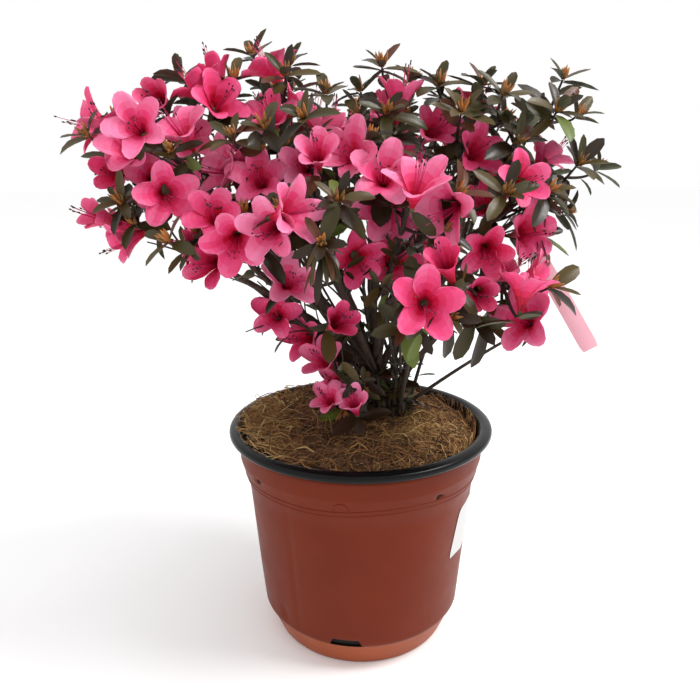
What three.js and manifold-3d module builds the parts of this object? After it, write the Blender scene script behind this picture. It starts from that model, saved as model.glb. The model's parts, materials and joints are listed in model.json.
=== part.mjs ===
// An azalea shrub in flower, in a two-tone plastic nursery pot. Millimetres, +Z up.
// The origin is the centre of the pot's flat underside, and -Y is the shrub's front.
//
// The shrub is a short trunk, one tapering bough for each spray of foliage, and the sprays.
// A spray grows by a seeded rule from one stem: twigs fork off to shoots, and each shoot
// carries a flower or a whorl of leaves. A spray keeps to its own cell of the crown.
import * as THREE from "three";
import { mergeVertices } from "three/addons/utils/BufferGeometryUtils.js";
import Module from "manifold-3d";

const wasm = await Module();
wasm.setup();

// ---- Driving dimensions ----

const CLEARANCE = 0.3; // gap between pieces that touch
const FULL_TURN = 2 * Math.PI;
const AXIS = new THREE.Vector3(0, 0, 1);

const POT_SIDES = 40;
const POT_WALL = 1.8;
const FOOT_RADIUS = 64;
const RIM_RADIUS = 95;
const RIM_TOP = 159;
const DRAIN_SLOTS = 4;
const DRAIN_SLOT = { width: 25, low: 20, high: 26, turn: -0.16 };

// Radius and height along the outside of the pot's wall, from its middle up to the rim, and
// of the compost's side, from its edge down.
const WALL_OUTSIDE = [
  [0, 0],
  [FOOT_RADIUS, 0],
  [71.8, 19],
  [73.9, 21],
  [82.4, 117],
  [88, 137.5],
  [88.4, 151.5],
];
const COMPOST_SIDE = [
  [83.6, 136],
  [79.6, 116],
  [71, 21],
  [61.2, POT_WALL + CLEARANCE],
];
const RIM_PROFILE = [
  [84.3, 138],
  [85.6, 138],
  [86.1, 151.8],
  [91, 151.8],
  [RIM_RADIUS, 154],
  [RIM_RADIUS, 157],
  [91.8, RIM_TOP],
  [87.6, RIM_TOP],
  [84.9, 156],
  [84.3, 138],
];

const COMPOST_SIDES = 32;
const COMPOST_FLAT_RADIUS = 22; // of the level patch that the trunk stands on
const COMPOST_EDGE = 150.5; // height at the wall, halfway between its high left and low right
const COMPOST_TILT = 0.055; // fall of the edge for each millimetre to the right

const TRUNK_FOOT = new THREE.Vector3(18, 3, 160);
const TRUNK_TOP = new THREE.Vector3(12, 0, 194);
const TRUNK_FOOT_RADIUS = 9.5;
const TRUNK_TOP_RADIUS = 7.2;
const ROOT_FLARE = 0.45; // how much wider the foot is than the trunk above it

const TRUNK_SIDES = 12;
const TRUNK_STEPS = 7;
const BOUGH_SIDES = 5;
const BOUGH_STEPS = 5;
const BOUGH_FOOT_RADIUS = 2.5; // of a bough that carries one spray
const BOUGH_TIP_RADIUS = 1.4;

const STEM_TIP_RADIUS = 1.1; // of the stem inside a spray
const TWIG_RADIUS = 0.75;
const TWIG_SIDES = 3;
const TWIG_STEPS = 2;
const FLOWER_RADIUS = 21;
const FLOWER_DEPTH = 19; // from the foot of the tube to the face of the flower
const LEAF_LENGTH = 25;
const LEAF_WIDTH = 10.5;
const FOLD = 5; // petals in a flower, and leaves in a whorl
const FOLD_TURN = FULL_TURN / FOLD;
const TRIALS = 320; // places tried for each shoot
const HEAD_GAP = 2.0; // between one shoot's flower or leaves and the next
const DOUBLE_BACK = -0.35; // least cosine between a twig's first direction and its last
const OVERHANG = 14; // how far flowers and leaves may stand out past a spray's reach
const HEAD_MARGIN = 0.6; // between a flower or leaf and the limbs, or the border of its cell
const TWIG_MARGIN = 0.4; // the same for a twig's surface

// Flowers and leaves turn away from this point, low in the back of the crown.
const CROWN_HEART = new THREE.Vector3(5, 45, 245);

// Each spray: where its middle is, how far its shoots reach from there, how many flowers and
// whorls it carries, and the trunk or bough that its own bough forks from, with the share of
// that limb's length below the fork.
const SPRAY_PLAN = {
  top_left: { at: [-55, -5, 385], reach: 27, flowers: 2, whorls: 4, from: "trunk", fork: 0.97 },
  top_right: { at: [73, -12, 360], reach: 33, flowers: 3, whorls: 4, from: "trunk", fork: 0.97 },
  left_upper: { at: [-125, -42, 355], reach: 29, flowers: 5, whorls: 2, from: "trunk", fork: 0.9 },
  back_centre: { at: [12, 88, 358], reach: 33, flowers: 4, whorls: 3, from: "trunk", fork: 0.93 },
  top_centre: { at: [20, -12, 377], reach: 27, flowers: 2, whorls: 4, from: "trunk", fork: 0.98 },
  front_centre: { at: [-32, -98, 312], reach: 25, flowers: 3, whorls: 2, from: "trunk", fork: 0.85 },
  low_right: { at: [84, -70, 270], reach: 28, flowers: 5, whorls: 1, from: "trunk", fork: 0.25 },
  left_low_tip: { at: [-154, -28, 308], reach: 21, flowers: 3, whorls: 1, from: "trunk", fork: 0.8 },
  back_left: { at: [-118, 52, 330], reach: 30, flowers: 4, whorls: 3, from: "trunk", fork: 0.88 },
  far_right: { at: [140, 4, 330], reach: 24, flowers: 1, whorls: 4, from: "trunk", fork: 0.9 },
  front_right: { at: [27, -82, 322], reach: 28, flowers: 4, whorls: 1, from: "trunk", fork: 0.92 },
  base: { at: [-14, -38, 192], reach: 18, flowers: 3, whorls: 1, from: "trunk", fork: 0.3, size: 0.75 },
  left_tip: { at: [-163, -15, 352], reach: 22, flowers: 3, whorls: 1, from: "left_upper", fork: 0.55 },
  upper_left: { at: [-97, -8, 383], reach: 25, flowers: 3, whorls: 2, from: "left_upper", fork: 0.5 },
  front_left: { at: [-84, -78, 302], reach: 28, flowers: 4, whorls: 1, from: "left_low_tip", fork: 0.4 },
  low_left: { at: [-58, -14, 238], reach: 17, flowers: 2, whorls: 1, from: "left_low_tip", fork: 0.14 },
  centre_left: { at: [-68, -48, 347], reach: 28, flowers: 3, whorls: 2, from: "top_left", fork: 0.45 },
  centre: { at: [-20, -56, 350], reach: 29, flowers: 4, whorls: 2, from: "top_centre", fork: 0.4 },
  right: { at: [100, -42, 318], reach: 27, flowers: 3, whorls: 3, from: "top_right", fork: 0.35 },
  far_right_top: { at: [124, 2, 370], reach: 24, flowers: 1, whorls: 4, from: "top_right", fork: 0.6 },
  low_right_front: { at: [34, -98, 274], reach: 26, flowers: 4, whorls: 1, from: "front_right", fork: 0.45 },
  inner: { at: [36, 26, 282], reach: 24, flowers: 3, whorls: 2, from: "far_right", fork: 0.2 },
  back_top_left: { at: [-50, 62, 370], reach: 29, flowers: 3, whorls: 3, from: "back_left", fork: 0.4 },
  back_right: { at: [84, 62, 343], reach: 31, flowers: 3, whorls: 3, from: "back_centre", fork: 0.3 },
  back_low_left: { at: [-62, 88, 295], reach: 28, flowers: 4, whorls: 2, from: "back_left", fork: 0.35 },
  back_low_right: { at: [58, 96, 288], reach: 28, flowers: 4, whorls: 2, from: "back_right", fork: 0.3 },
};
const SPRAYS = Object.entries(SPRAY_PLAN).map(([name, plan]) => ({ name, ...plan }));

// A blank strip that hangs in a loop from a bough, at a share of its length, down to its tip.
const TAG = { width: 11.5, thickness: 0.6, loop: 5, limb: "far_right", along: 0.85, tip: [149, -42, 222] };

// ---- Materials ----

const finish = (color, roughness) => new THREE.MeshStandardMaterial({ color, roughness, metalness: 0 });
const TERRACOTTA = finish(0x8f3f2a, 0.45);
const BLACK_RIM = finish(0x1d2422, 0.35);
const COMPOST = finish(0x4d3826, 1);
const BARK = finish(0x3a2e27, 0.9);
const PINK = finish(0xe8417c, 0.6);
const LEAF_GREEN = finish(0x3b4a2b, 0.55);
const TAG_PINK = finish(0xf48fa5, 0.4);

// ---- Solids ----

/** A mesh's geometry as a solid that can be joined and cut. */
function solidOf(geometry) {
  const bare = geometry.clone();
  bare.deleteAttribute("normal");
  bare.deleteAttribute("uv");
  const merged = mergeVertices(bare, 1e-4);
  return new wasm.Manifold(
    new wasm.Mesh({
      numProp: 3,
      vertProperties: new Float32Array(merged.attributes.position.array),
      triVerts: new Uint32Array(merged.index.array),
    }),
  );
}

/** The largest closed body of a solid: what a cut leaves behind as scraps is dropped. */
function mainBody(solid) {
  return solid.decompose().reduce((a, b) => (b.volume() > a.volume() ? b : a));
}

function geometryOf(solid) {
  const { vertProperties, triVerts } = solid.getMesh();
  return new THREE.BufferGeometry()
    .setAttribute("position", new THREE.BufferAttribute(vertProperties, 3))
    .setIndex(new THREE.BufferAttribute(triVerts, 1));
}

function geometryFrom(points, triangles) {
  return new THREE.BufferGeometry().setFromPoints(points).setIndex(triangles.flat());
}

const shrub = new THREE.Group();

function addPiece(name, geometry, material) {
  const mesh = new THREE.Mesh(geometry, material);
  mesh.name = name;
  shrub.add(mesh);
}

/** A tube along a path, whose radius is a function of the share of the path's length. */
function taperedTube(path, radiusAt, sides, steps) {
  const frames = path.computeFrenetFrames(steps, false);
  const points = [];
  const triangles = [];
  for (let step = 0; step <= steps; step++) {
    const along = step / steps;
    const centre = path.getPointAt(along);
    for (let side = 0; side < sides; side++) {
      const angle = (side / sides) * FULL_TURN;
      const radius = radiusAt(along, angle);
      points.push(
        centre
          .clone()
          .addScaledVector(frames.normals[step], radius * Math.cos(angle))
          .addScaledVector(frames.binormals[step], radius * Math.sin(angle)),
      );
    }
  }
  for (let step = 0; step < steps; step++)
    for (let side = 0; side < sides; side++) {
      const a = step * sides + side;
      const b = step * sides + ((side + 1) % sides);
      triangles.push([a, b, b + sides], [a, b + sides, a + sides]);
    }
  const last = steps * sides;
  for (let side = 1; side < sides - 1; side++) {
    triangles.push([0, side + 1, side], [last, last + side, last + side + 1]);
  }
  return geometryFrom(points, triangles);
}

// ---- Pot and compost ----

function lathe(profile) {
  const outline = profile.map(([radius, height]) => new THREE.Vector2(radius, height));
  return new THREE.LatheGeometry(outline, POT_SIDES).rotateX(Math.PI / 2);
}

/** A thin-walled pot with a flat bottom, and slots cut through at the wall's foot for water. */
function potGeometry() {
  const inside = WALL_OUTSIDE.slice(3).map(([radius, height]) => [radius - POT_WALL, height]);
  const floor = [
    [FOOT_RADIUS - POT_WALL, POT_WALL],
    [0, POT_WALL],
  ];
  let pot = solidOf(lathe([...WALL_OUTSIDE, ...inside.reverse(), ...floor]));
  const slotHeight = DRAIN_SLOT.high - DRAIN_SLOT.low;
  for (let slot = 0; slot < DRAIN_SLOTS; slot++) {
    const cutter = new THREE.BoxGeometry(DRAIN_SLOT.width, FOOT_RADIUS, slotHeight)
      .translate(0, -FOOT_RADIUS * 1.1, DRAIN_SLOT.low + slotHeight / 2)
      .rotateZ(DRAIN_SLOT.turn + (slot / DRAIN_SLOTS) * FULL_TURN);
    pot = pot.subtract(solidOf(cutter));
  }
  return geometryOf(mainBody(pot));
}

/** Height of the compost: flat at the trunk, mounded round it, highest at the left wall. */
function compostHeight(x, y, outward) {
  const edge = COMPOST_EDGE - COMPOST_TILT * x;
  const lumps = 1.3 * Math.sin(0.09 * x + 1) * Math.sin(0.11 * y) * Math.sin(Math.PI * outward);
  return THREE.MathUtils.lerp(TRUNK_FOOT.z - CLEARANCE, edge, outward ** 1.6) + lumps;
}

/** The compost is rows of points round the trunk: out to the pot's wall, and down its side. */
function compostGeometry() {
  const centre = new THREE.Vector3(TRUNK_FOOT.x, TRUNK_FOOT.y, TRUNK_FOOT.z - CLEARANCE);

  // Where a line from the trunk at this angle meets a circle round the pot's middle.
  const wallPoint = (angle, radius) => {
    const heading = new THREE.Vector2(Math.cos(angle), Math.sin(angle));
    const along = centre.x * heading.x + centre.y * heading.y;
    const reach = Math.sqrt(along ** 2 + radius ** 2 - centre.x ** 2 - centre.y ** 2) - along;
    return heading.multiplyScalar(reach).add(centre);
  };
  const surfacePoint = (angle, outward) => {
    const wall = wallPoint(angle, COMPOST_SIDE[0][0]);
    const heading = new THREE.Vector2(Math.cos(angle), Math.sin(angle));
    const inner = heading.multiplyScalar(COMPOST_FLAT_RADIUS).add(centre);
    const { x, y } = inner.lerp(wall, outward);
    return new THREE.Vector3(x, y, outward === 0 ? centre.z : compostHeight(x, y, outward));
  };
  const rows = [
    ...[0, 0.3, 0.65, 1].map((outward) => (angle) => surfacePoint(angle, outward)),
    ...COMPOST_SIDE.map(([radius, height]) => (angle) => {
      const { x, y } = wallPoint(angle, radius);
      return new THREE.Vector3(x, y, height);
    }),
  ];

  const points = [centre, new THREE.Vector3(0, 0, COMPOST_SIDE.at(-1)[1])];
  for (const row of rows)
    for (let side = 0; side < COMPOST_SIDES; side++) points.push(row((side / COMPOST_SIDES) * FULL_TURN));
  const at = (row, side) => 2 + row * COMPOST_SIDES + (side % COMPOST_SIDES);
  const triangles = [];
  for (let side = 0; side < COMPOST_SIDES; side++) {
    triangles.push([0, at(0, side), at(0, side + 1)]);
    triangles.push([1, at(rows.length - 1, side + 1), at(rows.length - 1, side)]);
    for (let row = 0; row < rows.length - 1; row++) {
      const [a, b, c, d] = [at(row, side), at(row, side + 1), at(row + 1, side), at(row + 1, side + 1)];
      triangles.push([a, c, d], [a, d, b]);
    }
  }
  return geometryFrom(points, triangles);
}

// ---- Trunk and boughs ----

const trunkPath = new THREE.QuadraticBezierCurve3(
  TRUNK_FOOT,
  new THREE.Vector3(TRUNK_FOOT.x, TRUNK_FOOT.y, TRUNK_FOOT.z + 18),
  TRUNK_TOP,
);

/** The trunk narrows upwards, and its foot swells into four root ridges. */
function trunkRadius(along, angle) {
  const straight = THREE.MathUtils.lerp(TRUNK_FOOT_RADIUS, TRUNK_TOP_RADIUS, along);
  const swelling = ROOT_FLARE * Math.max(0, 1 - along / 0.35) ** 2;
  return straight * (1 + swelling * (1 + 0.35 * Math.cos(4 * angle)));
}

const towards = (from, to) => to.clone().sub(from).normalize();

/** The way a spray's flowers and leaves face: away from the heart of the crown. */
const outwardAt = (point) => towards(CROWN_HEART, point);

const limbs = { trunk: { path: trunkPath, radiusAt: trunkRadius } };

/** A limb as short straight stretches, to measure how near a point comes to it. */
function stretchesOf(path, radiusAt, count) {
  return Array.from({ length: count }, (_, i) => ({
    line: new THREE.Line3(path.getPointAt(i / count), path.getPointAt((i + 1) / count)),
    radius: radiusAt(i / count, 0),
  }));
}

/**
 * A bough leaves its parent limb between the parent's own direction and the straight way to
 * its spray, nearer the first the higher it forks, and arrives bending outwards. It thins
 * from its foot to its tip.
 */
function growBough(spray) {
  const parent = limbs[spray.from];
  const middle = new THREE.Vector3(...spray.at);
  const foot = parent.path.getPointAt(spray.fork);
  const aim = towards(foot, middle);
  const arrival = aim.clone().lerp(outwardAt(middle), 0.35).normalize();
  const tip = middle.clone().addScaledVector(arrival, -0.75 * spray.reach);
  const departure = parent.path.getTangentAt(spray.fork).multiplyScalar(spray.fork).add(aim).normalize();
  const length = foot.distanceTo(tip);
  const path = new THREE.CubicBezierCurve3(
    foot,
    foot.clone().addScaledVector(departure, 0.35 * length),
    tip.clone().addScaledVector(arrival, -0.3 * length),
    tip,
  );
  const children = SPRAYS.filter((other) => other.from === spray.name).length;
  const ownFoot = BOUGH_FOOT_RADIUS + 0.5 * children;
  const footRadius = Math.min(ownFoot, 0.85 * parent.radiusAt(spray.fork, 0));
  const radiusAt = (along) => THREE.MathUtils.lerp(footRadius, BOUGH_TIP_RADIUS, along ** 0.8);
  limbs[spray.name] = { path, radiusAt, arrival, tip };
}
SPRAYS.forEach(growBough);

const limbStretches = Object.values(limbs).flatMap(({ path, radiusAt }) => stretchesOf(path, radiusAt, 7));

/** Cuts each limb clear of the ones it forks from or passes, so that it is seated on them. */
function limbSolids() {
  const made = [];
  const names = ["trunk", ...SPRAYS.map(({ name }) => name)];
  for (const name of names) {
    const { path, radiusAt } = limbs[name];
    const [sides, steps] = name === "trunk" ? [TRUNK_SIDES, TRUNK_STEPS] : [BOUGH_SIDES, BOUGH_STEPS];
    const grown = (along, angle) => radiusAt(along, angle) + CLEARANCE;
    let solid = solidOf(taperedTube(path, radiusAt, sides, steps));
    for (const other of made) solid = solid.subtract(other.grown);
    made.push({ name, solid: mainBody(solid), grown: solidOf(taperedTube(path, grown, sides, steps)) });
  }
  return made;
}

// ---- Sprays ----

/** A repeatable stream of numbers between 0 and 1. */
function seededStream(seed) {
  let state = seed;
  return () => {
    state = (state * 48271) % 2147483647;
    return state / 2147483647;
  };
}

const sprayCells = SPRAYS.map(({ at, reach }) => ({ middle: new THREE.Vector3(...at), weight: reach ** 2 }));

/** How far inside its own cell of the crown a point is: the cells are a power diagram. */
function depthInCell(point, own) {
  const power = (cell) => point.distanceToSquared(cell.middle) - cell.weight;
  const ownPower = power(sprayCells[own]);
  let depth = Infinity;
  sprayCells.forEach((cell, other) => {
    if (other === own) return;
    const between = cell.middle.distanceTo(sprayCells[own].middle);
    depth = Math.min(depth, (power(cell) - ownPower) / (2 * between));
  });
  return depth;
}

const nearest = new THREE.Vector3();

function gapToLimbs(point) {
  let gap = Infinity;
  for (const { line, radius } of limbStretches) {
    line.closestPointToPoint(point, true, nearest);
    gap = Math.min(gap, point.distanceTo(nearest) - radius);
  }
  return gap;
}

const TAG_TIP = new THREE.Vector3(...TAG.tip);
const tagRoot = limbs[TAG.limb].path.getPointAt(TAG.along);
const tagLine = new THREE.Line3(tagRoot, TAG_TIP);

function gapToTag(point) {
  tagLine.closestPointToPoint(point, true, nearest);
  return point.distanceTo(nearest) - TAG.width * 0.6;
}

/** A point clears the compost and the pot's rim. */
const abovePot = (point) => point.z > RIM_TOP + 4 || Math.hypot(point.x, point.y) > RIM_RADIUS + 3;

/** Whether all of a shape's points keep to the spray's cell, clear of limbs, tag and pot. */
function fits(points, own, margin) {
  return points.every(
    (p) =>
      p.distanceTo(sprayCells[own].middle) < SPRAYS[own].reach + OVERHANG &&
      depthInCell(p, own) > margin &&
      gapToLimbs(p) > margin &&
      gapToTag(p) > 1 &&
      abovePot(p),
  );
}

/** Axes for a shape whose own +Z points along a direction, turned about it by an angle. */
function placing(origin, direction, turn) {
  const side = new THREE.Vector3(0, 0, 1).cross(direction);
  if (side.lengthSq() < 1e-6) side.set(1, 0, 0);
  side.normalize().applyAxisAngle(direction, turn);
  const up = direction.clone().cross(side);
  return new THREE.Matrix4().makeBasis(side, up, direction).setPosition(origin);
}

const polar = (radius, angle, height) =>
  new THREE.Vector3(radius * Math.cos(angle), radius * Math.sin(angle), height);

/**
 * A flower of five petals round a hollow tube. The wall is thickest in the tube and comes to
 * nothing at the petals' edges. Its under loop is open, for a twig to join.
 */
function flowerShape(size) {
  const radius = FLOWER_RADIUS * size;
  const depth = FLOWER_DEPTH * size;
  const points = [new THREE.Vector3(0, 0, 0.35 * depth)];
  const triangles = [];
  const under = [];
  const row = (place) => Array.from({ length: FOLD }, (_, k) => points.push(place(k * FOLD_TURN)) - 1);
  const gapOut = row((angle) => polar(0.28 * radius, angle - FOLD_TURN / 2, 0.66 * depth));
  const gapIn = row((angle) => polar(0.23 * radius, angle - FOLD_TURN / 2, 0.74 * depth));
  const left = row((angle) => polar(0.74 * radius, angle - 0.42, depth));
  const right = row((angle) => polar(0.74 * radius, angle + 0.42, depth));
  const tip = row((angle) => polar(radius, angle, 0.96 * depth));
  for (let k = 0; k < FOLD; k++) {
    const next = (k + 1) % FOLD;
    const [a, b, c, d, e] = [gapOut[k], gapOut[next], right[k], tip[k], left[k]];
    triangles.push([a, b, d], [b, c, d], [a, d, e], [0, gapIn[k], gapIn[next]]);
    triangles.push([gapIn[k], e, d], [gapIn[k], d, gapIn[next]], [gapIn[next], d, c]);
    triangles.push([gapIn[k], a, e], [b, gapIn[next], c]);
    under.push({ index: a, angle: (k - 0.5) * FOLD_TURN });
  }
  return { points, triangles, under };
}

/**
 * A whorl of leaves round one bud. Each leaf is a wedge, with its midrib as a ridge, that
 * thins from the bud to its tip. Its under loop is open, for a twig to join.
 */
function whorlShape(random) {
  const points = [new THREE.Vector3(0, 0, 4.5)];
  const triangles = [];
  const under = [];
  const add = (radius, side, height, angle) => {
    const place = new THREE.Vector3(radius, side, height).applyAxisAngle(AXIS, angle);
    return points.push(place) - 1;
  };
  const gaps = Array.from({ length: FOLD }, (_, k) => add(2, 0, 2.4, (k - 0.5) * FOLD_TURN));
  for (let k = 0; k < FOLD; k++) {
    const length = LEAF_LENGTH * (0.75 + 0.4 * random());
    const lift = 0.2 + 0.6 * random();
    const half = (LEAF_WIDTH * length) / LEAF_LENGTH / 2;
    const [out, rise] = [length * Math.cos(lift), length * Math.sin(lift)];
    const left = add(0.55 * out, -half, 2 + 0.55 * rise, k * FOLD_TURN);
    const right = add(0.55 * out, half, 2 + 0.55 * rise, k * FOLD_TURN);
    const tip = add(out, 0, 2 + rise, k * FOLD_TURN);
    const [gapLeft, gapRight] = [gaps[k], gaps[(k + 1) % FOLD]];
    triangles.push([0, gapLeft, left], [0, left, tip], [0, tip, right], [0, right, gapRight]);
    const spread = Math.atan2(half, 0.55 * out);
    under.push({ index: gapLeft, angle: (k - 0.5) * FOLD_TURN });
    under.push({ index: left, angle: k * FOLD_TURN - spread });
    under.push({ index: tip, angle: k * FOLD_TURN });
    under.push({ index: right, angle: k * FOLD_TURN + spread });
  }
  return { points, triangles, under };
}

/** Triangles between a loop of points and a ring inside it, both in order of their angles. */
function stitch(loop, ring) {
  const angleOf = (row, i) => row[i % row.length].angle + FULL_TURN * Math.floor(i / row.length);
  const indexOf = (row, i) => row[i % row.length].index;
  const triangles = [];
  let [outer, inner] = [0, 0];
  while (outer < loop.length || inner < ring.length) {
    const corner = [indexOf(ring, inner), indexOf(loop, outer)];
    const loopStep = angleOf(loop, outer + 1) - angleOf(ring, inner);
    const loopIsNext = loopStep < angleOf(ring, inner + 1) - angleOf(loop, outer);
    if (inner === ring.length || (loopIsNext && outer < loop.length)) {
      triangles.push([corner[0], indexOf(loop, ++outer), corner[1]]);
    } else {
      triangles.push([corner[0], indexOf(ring, ++inner), corner[1]]);
    }
  }
  return triangles;
}

const placed = (shape, matrix) => shape.points.map((p) => p.clone().applyMatrix4(matrix));

/** Points spread over a shape's faces, which show what it comes near to. */
function feelers(shape, matrix) {
  const corners = placed(shape, matrix);
  const middles = shape.triangles.flatMap(([a, b, c]) => [
    corners[a].clone().lerp(corners[b], 0.5),
    corners[a].clone().add(corners[b]).add(corners[c]).divideScalar(3),
  ]);
  return [...corners, ...middles];
}

/** A twig's centreline: it bends to end in its shoot's own direction. */
function twigPath(foot, shoot) {
  const length = foot.distanceTo(shoot.base);
  const bend = shoot.base.clone().addScaledVector(shoot.facing, -0.4 * length);
  return new THREE.QuadraticBezierCurve3(foot, bend, shoot.base);
}

/** A shoot's head and its twig as one closed shell: the twig's last ring is stitched to the head. */
function shootSolid(shoot) {
  const { path } = shoot;
  const points = placed(shoot.shape, shoot.matrix);
  const triangles = [...shoot.shape.triangles];
  const rings = [];
  for (let step = 0; step <= TWIG_STEPS; step++) {
    const along = step / TWIG_STEPS;
    const centre = path.getPointAt(along);
    const lean = new THREE.Quaternion().setFromUnitVectors(shoot.facing, path.getTangentAt(along));
    rings.push(
      Array.from({ length: TWIG_SIDES }, (_, side) => {
        const angle = (side - 0.5) * (FULL_TURN / TWIG_SIDES);
        const offset = polar(1, angle, 0).transformDirection(shoot.matrix).multiplyScalar(TWIG_RADIUS);
        return { index: points.push(offset.applyQuaternion(lean).add(centre)) - 1, angle };
      }),
    );
  }
  for (let step = 0; step < TWIG_STEPS; step++)
    for (let side = 0; side < TWIG_SIDES; side++) {
      const next = (side + 1) % TWIG_SIDES;
      const [a, b] = [rings[step][side].index, rings[step][next].index];
      const [c, d] = [rings[step + 1][side].index, rings[step + 1][next].index];
      triangles.push([a, b, d], [a, d, c]);
    }
  triangles.push(rings[0].map(({ index }) => index).reverse());
  triangles.push(...stitch(shoot.shape.under, rings[TWIG_STEPS]));
  return solidOf(geometryFrom(points, triangles));
}

/** Whether two sets of points come nearer to each other than flowers and leaves may stand. */
const comesNear = (some, others) =>
  some.some((p) => others.some((q) => p.distanceToSquared(q) < HEAD_GAP ** 2));

/** A twig starts at the point of the stem or of an earlier twig that leads to it most directly. */
function twigFoot(wood, base) {
  let best = null;
  for (const { path, start } of wood)
    for (let along = start; along <= 0.91; along += 0.15) {
      const point = path.getPointAt(along);
      const bend = 1 - towards(point, base).dot(path.getTangentAt(along));
      const cost = point.distanceTo(base) + 9 * bend;
      if (!best || cost < best.cost) best = { cost, point };
    }
  return best.point;
}

/** A seeded place for a shoot: somewhere in the outer part of its spray, facing outwards. */
function tryShoot(spray, own, random, isFlower, shape, depth) {
  const middle = sprayCells[own].middle;
  const outward = outwardAt(middle);
  const tilt = Math.acos(1 - random() * (isFlower ? 1.2 : 1.4));
  const direction = AXIS.clone()
    .applyMatrix4(new THREE.Matrix4().makeRotationX(tilt))
    .applyMatrix4(placing(new THREE.Vector3(), outward, random() * FULL_TURN));
  const point = middle.clone().addScaledVector(direction, spray.reach * (0.3 + 0.7 * random()));
  const facing = direction.multiplyScalar(0.8).add(outward).normalize();
  if (!isFlower) facing.setZ(facing.z + 0.7).normalize();
  const base = point.clone().addScaledVector(facing, -depth);
  const matrix = placing(base, facing, random() * FULL_TURN);
  return { point, base, facing, shape, matrix, touch: feelers(shape, matrix) };
}

/**
 * The shoots of a spray and their twigs. Each is the best of some seeded trials: it fits, and
 * it stands furthest from the shoots before it. Flowers come first, then whorls of leaves.
 */
function growShoots(spray, own, wood) {
  const random = seededStream(7001 + 613 * own);
  const shoots = [];
  const count = spray.flowers + spray.whorls;
  for (let k = 0; k < count; k++) {
    const isFlower = k < spray.flowers;
    const size = (spray.size ?? 1) * (0.9 + 0.15 * random());
    const shape = isFlower ? flowerShape(size) : whorlShape(random);
    const depth = isFlower ? FLOWER_DEPTH * size : 0;
    let best = null;
    for (let trial = 0; trial < TRIALS; trial++) {
      const shoot = tryShoot(spray, own, random, isFlower, shape, depth);
      const room = Math.min(60, ...shoots.map((other) => other.point.distanceTo(shoot.point)));
      if (best && room < best.room) continue;
      if (!fits(shoot.touch, own, HEAD_MARGIN)) continue;
      const path = twigPath(twigFoot(wood, shoot.base), shoot);
      if (path.getTangentAt(0).dot(shoot.facing) < DOUBLE_BACK) continue;
      const alongPath = Array.from({ length: 8 }, (_, i) => path.getPointAt((i + 1) / 9));
      if (!fits(alongPath, own, TWIG_RADIUS + TWIG_MARGIN)) continue;
      const near = [...shoot.touch, ...alongPath];
      if (shoots.some((other) => comesNear(near, other.touch))) continue;
      if (shootSolid({ ...shoot, path }).intersect(obstacles).volume() > 0) continue;
      best = { ...shoot, path, room };
    }
    if (!best) continue;
    shoots.push(best);
    wood.push({ path: best.path, start: 0.3 });
  }
  return shoots;
}

/** One spray as a single solid: a stem, and shoots whose twigs are rooted in it or each other. */
function spraySolid(spray, own) {
  const { tip, arrival } = limbs[spray.name];
  const stemFoot = tip.clone().addScaledVector(arrival, CLEARANCE);
  const stemTip = stemFoot.clone().addScaledVector(arrival, 0.75 * spray.reach);
  const stemPath = new THREE.LineCurve3(stemFoot, stemTip);
  const stemRadius = (along) => THREE.MathUtils.lerp(BOUGH_TIP_RADIUS, STEM_TIP_RADIUS, along);
  const stem = solidOf(taperedTube(stemPath, stemRadius, 4, 1));
  const shoots = growShoots(spray, own, [{ path: stemPath, start: 0.3 }]);
  return mainBody(wasm.Manifold.union([stem, ...shoots.map(shootSolid)]));
}

// ---- Tag ----

/** A plain plastic strip, closed in a loop round its bough, that hangs out of the foliage. */
function tagSolid() {
  const { path, radiusAt } = limbs[TAG.limb];
  const along = path.getTangentAt(TAG.along);
  const down = TAG_TIP.clone().sub(tagRoot);
  const outOf = down.clone().addScaledVector(along, -down.dot(along)).normalize();
  const across = along.clone().cross(outOf);
  const hole = radiusAt(TAG.along) + 1;
  const band = new THREE.Shape();
  band.absarc(0, 0, hole + TAG.thickness, 0, FULL_TURN);
  band.holes.push(new THREE.Path().absarc(0, 0, hole, 0, FULL_TURN, true));
  const loop = new THREE.ExtrudeGeometry(band, { depth: TAG.loop, bevelEnabled: false, curveSegments: 10 })
    .translate(0, 0, -TAG.loop / 2)
    .applyMatrix4(new THREE.Matrix4().makeBasis(outOf, across, along).setPosition(tagRoot));
  const start = tagRoot.clone().addScaledVector(outOf, hole + TAG.thickness / 2);
  const run = TAG_TIP.clone().sub(start);
  const lengthwise = run.clone().normalize();
  const face = new THREE.Vector3(0, -1, 0).addScaledVector(lengthwise, lengthwise.y).normalize();
  const sideways = lengthwise.clone().cross(face);
  const strip = new THREE.BoxGeometry(run.length(), TAG.width, TAG.thickness)
    .translate(run.length() / 2, 0, 0)
    .applyMatrix4(new THREE.Matrix4().makeBasis(lengthwise, sideways.negate(), face).setPosition(start));
  return mainBody(solidOf(loop).add(solidOf(strip)));
}

// ---- Assembly ----

const limbPieces = limbSolids();
const tag = tagSolid();
const obstacles = wasm.Manifold.union([...limbPieces.map(({ grown }) => grown), tag]);

addPiece("pot", potGeometry(), TERRACOTTA);
addPiece("pot_rim", lathe(RIM_PROFILE), BLACK_RIM);
addPiece("compost", compostGeometry(), COMPOST);
for (const { name, solid } of limbPieces)
  addPiece(name === "trunk" ? name : `bough_${name}`, geometryOf(solid), BARK);
SPRAYS.forEach((spray, own) => {
  const material = spray.flowers >= spray.whorls ? PINK : LEAF_GREEN;
  addPiece(`spray_${spray.name}`, geometryOf(spraySolid(spray, own)), material);
});
addPiece("plant_tag", geometryOf(tag), TAG_PINK);

export default shrub;
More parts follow.
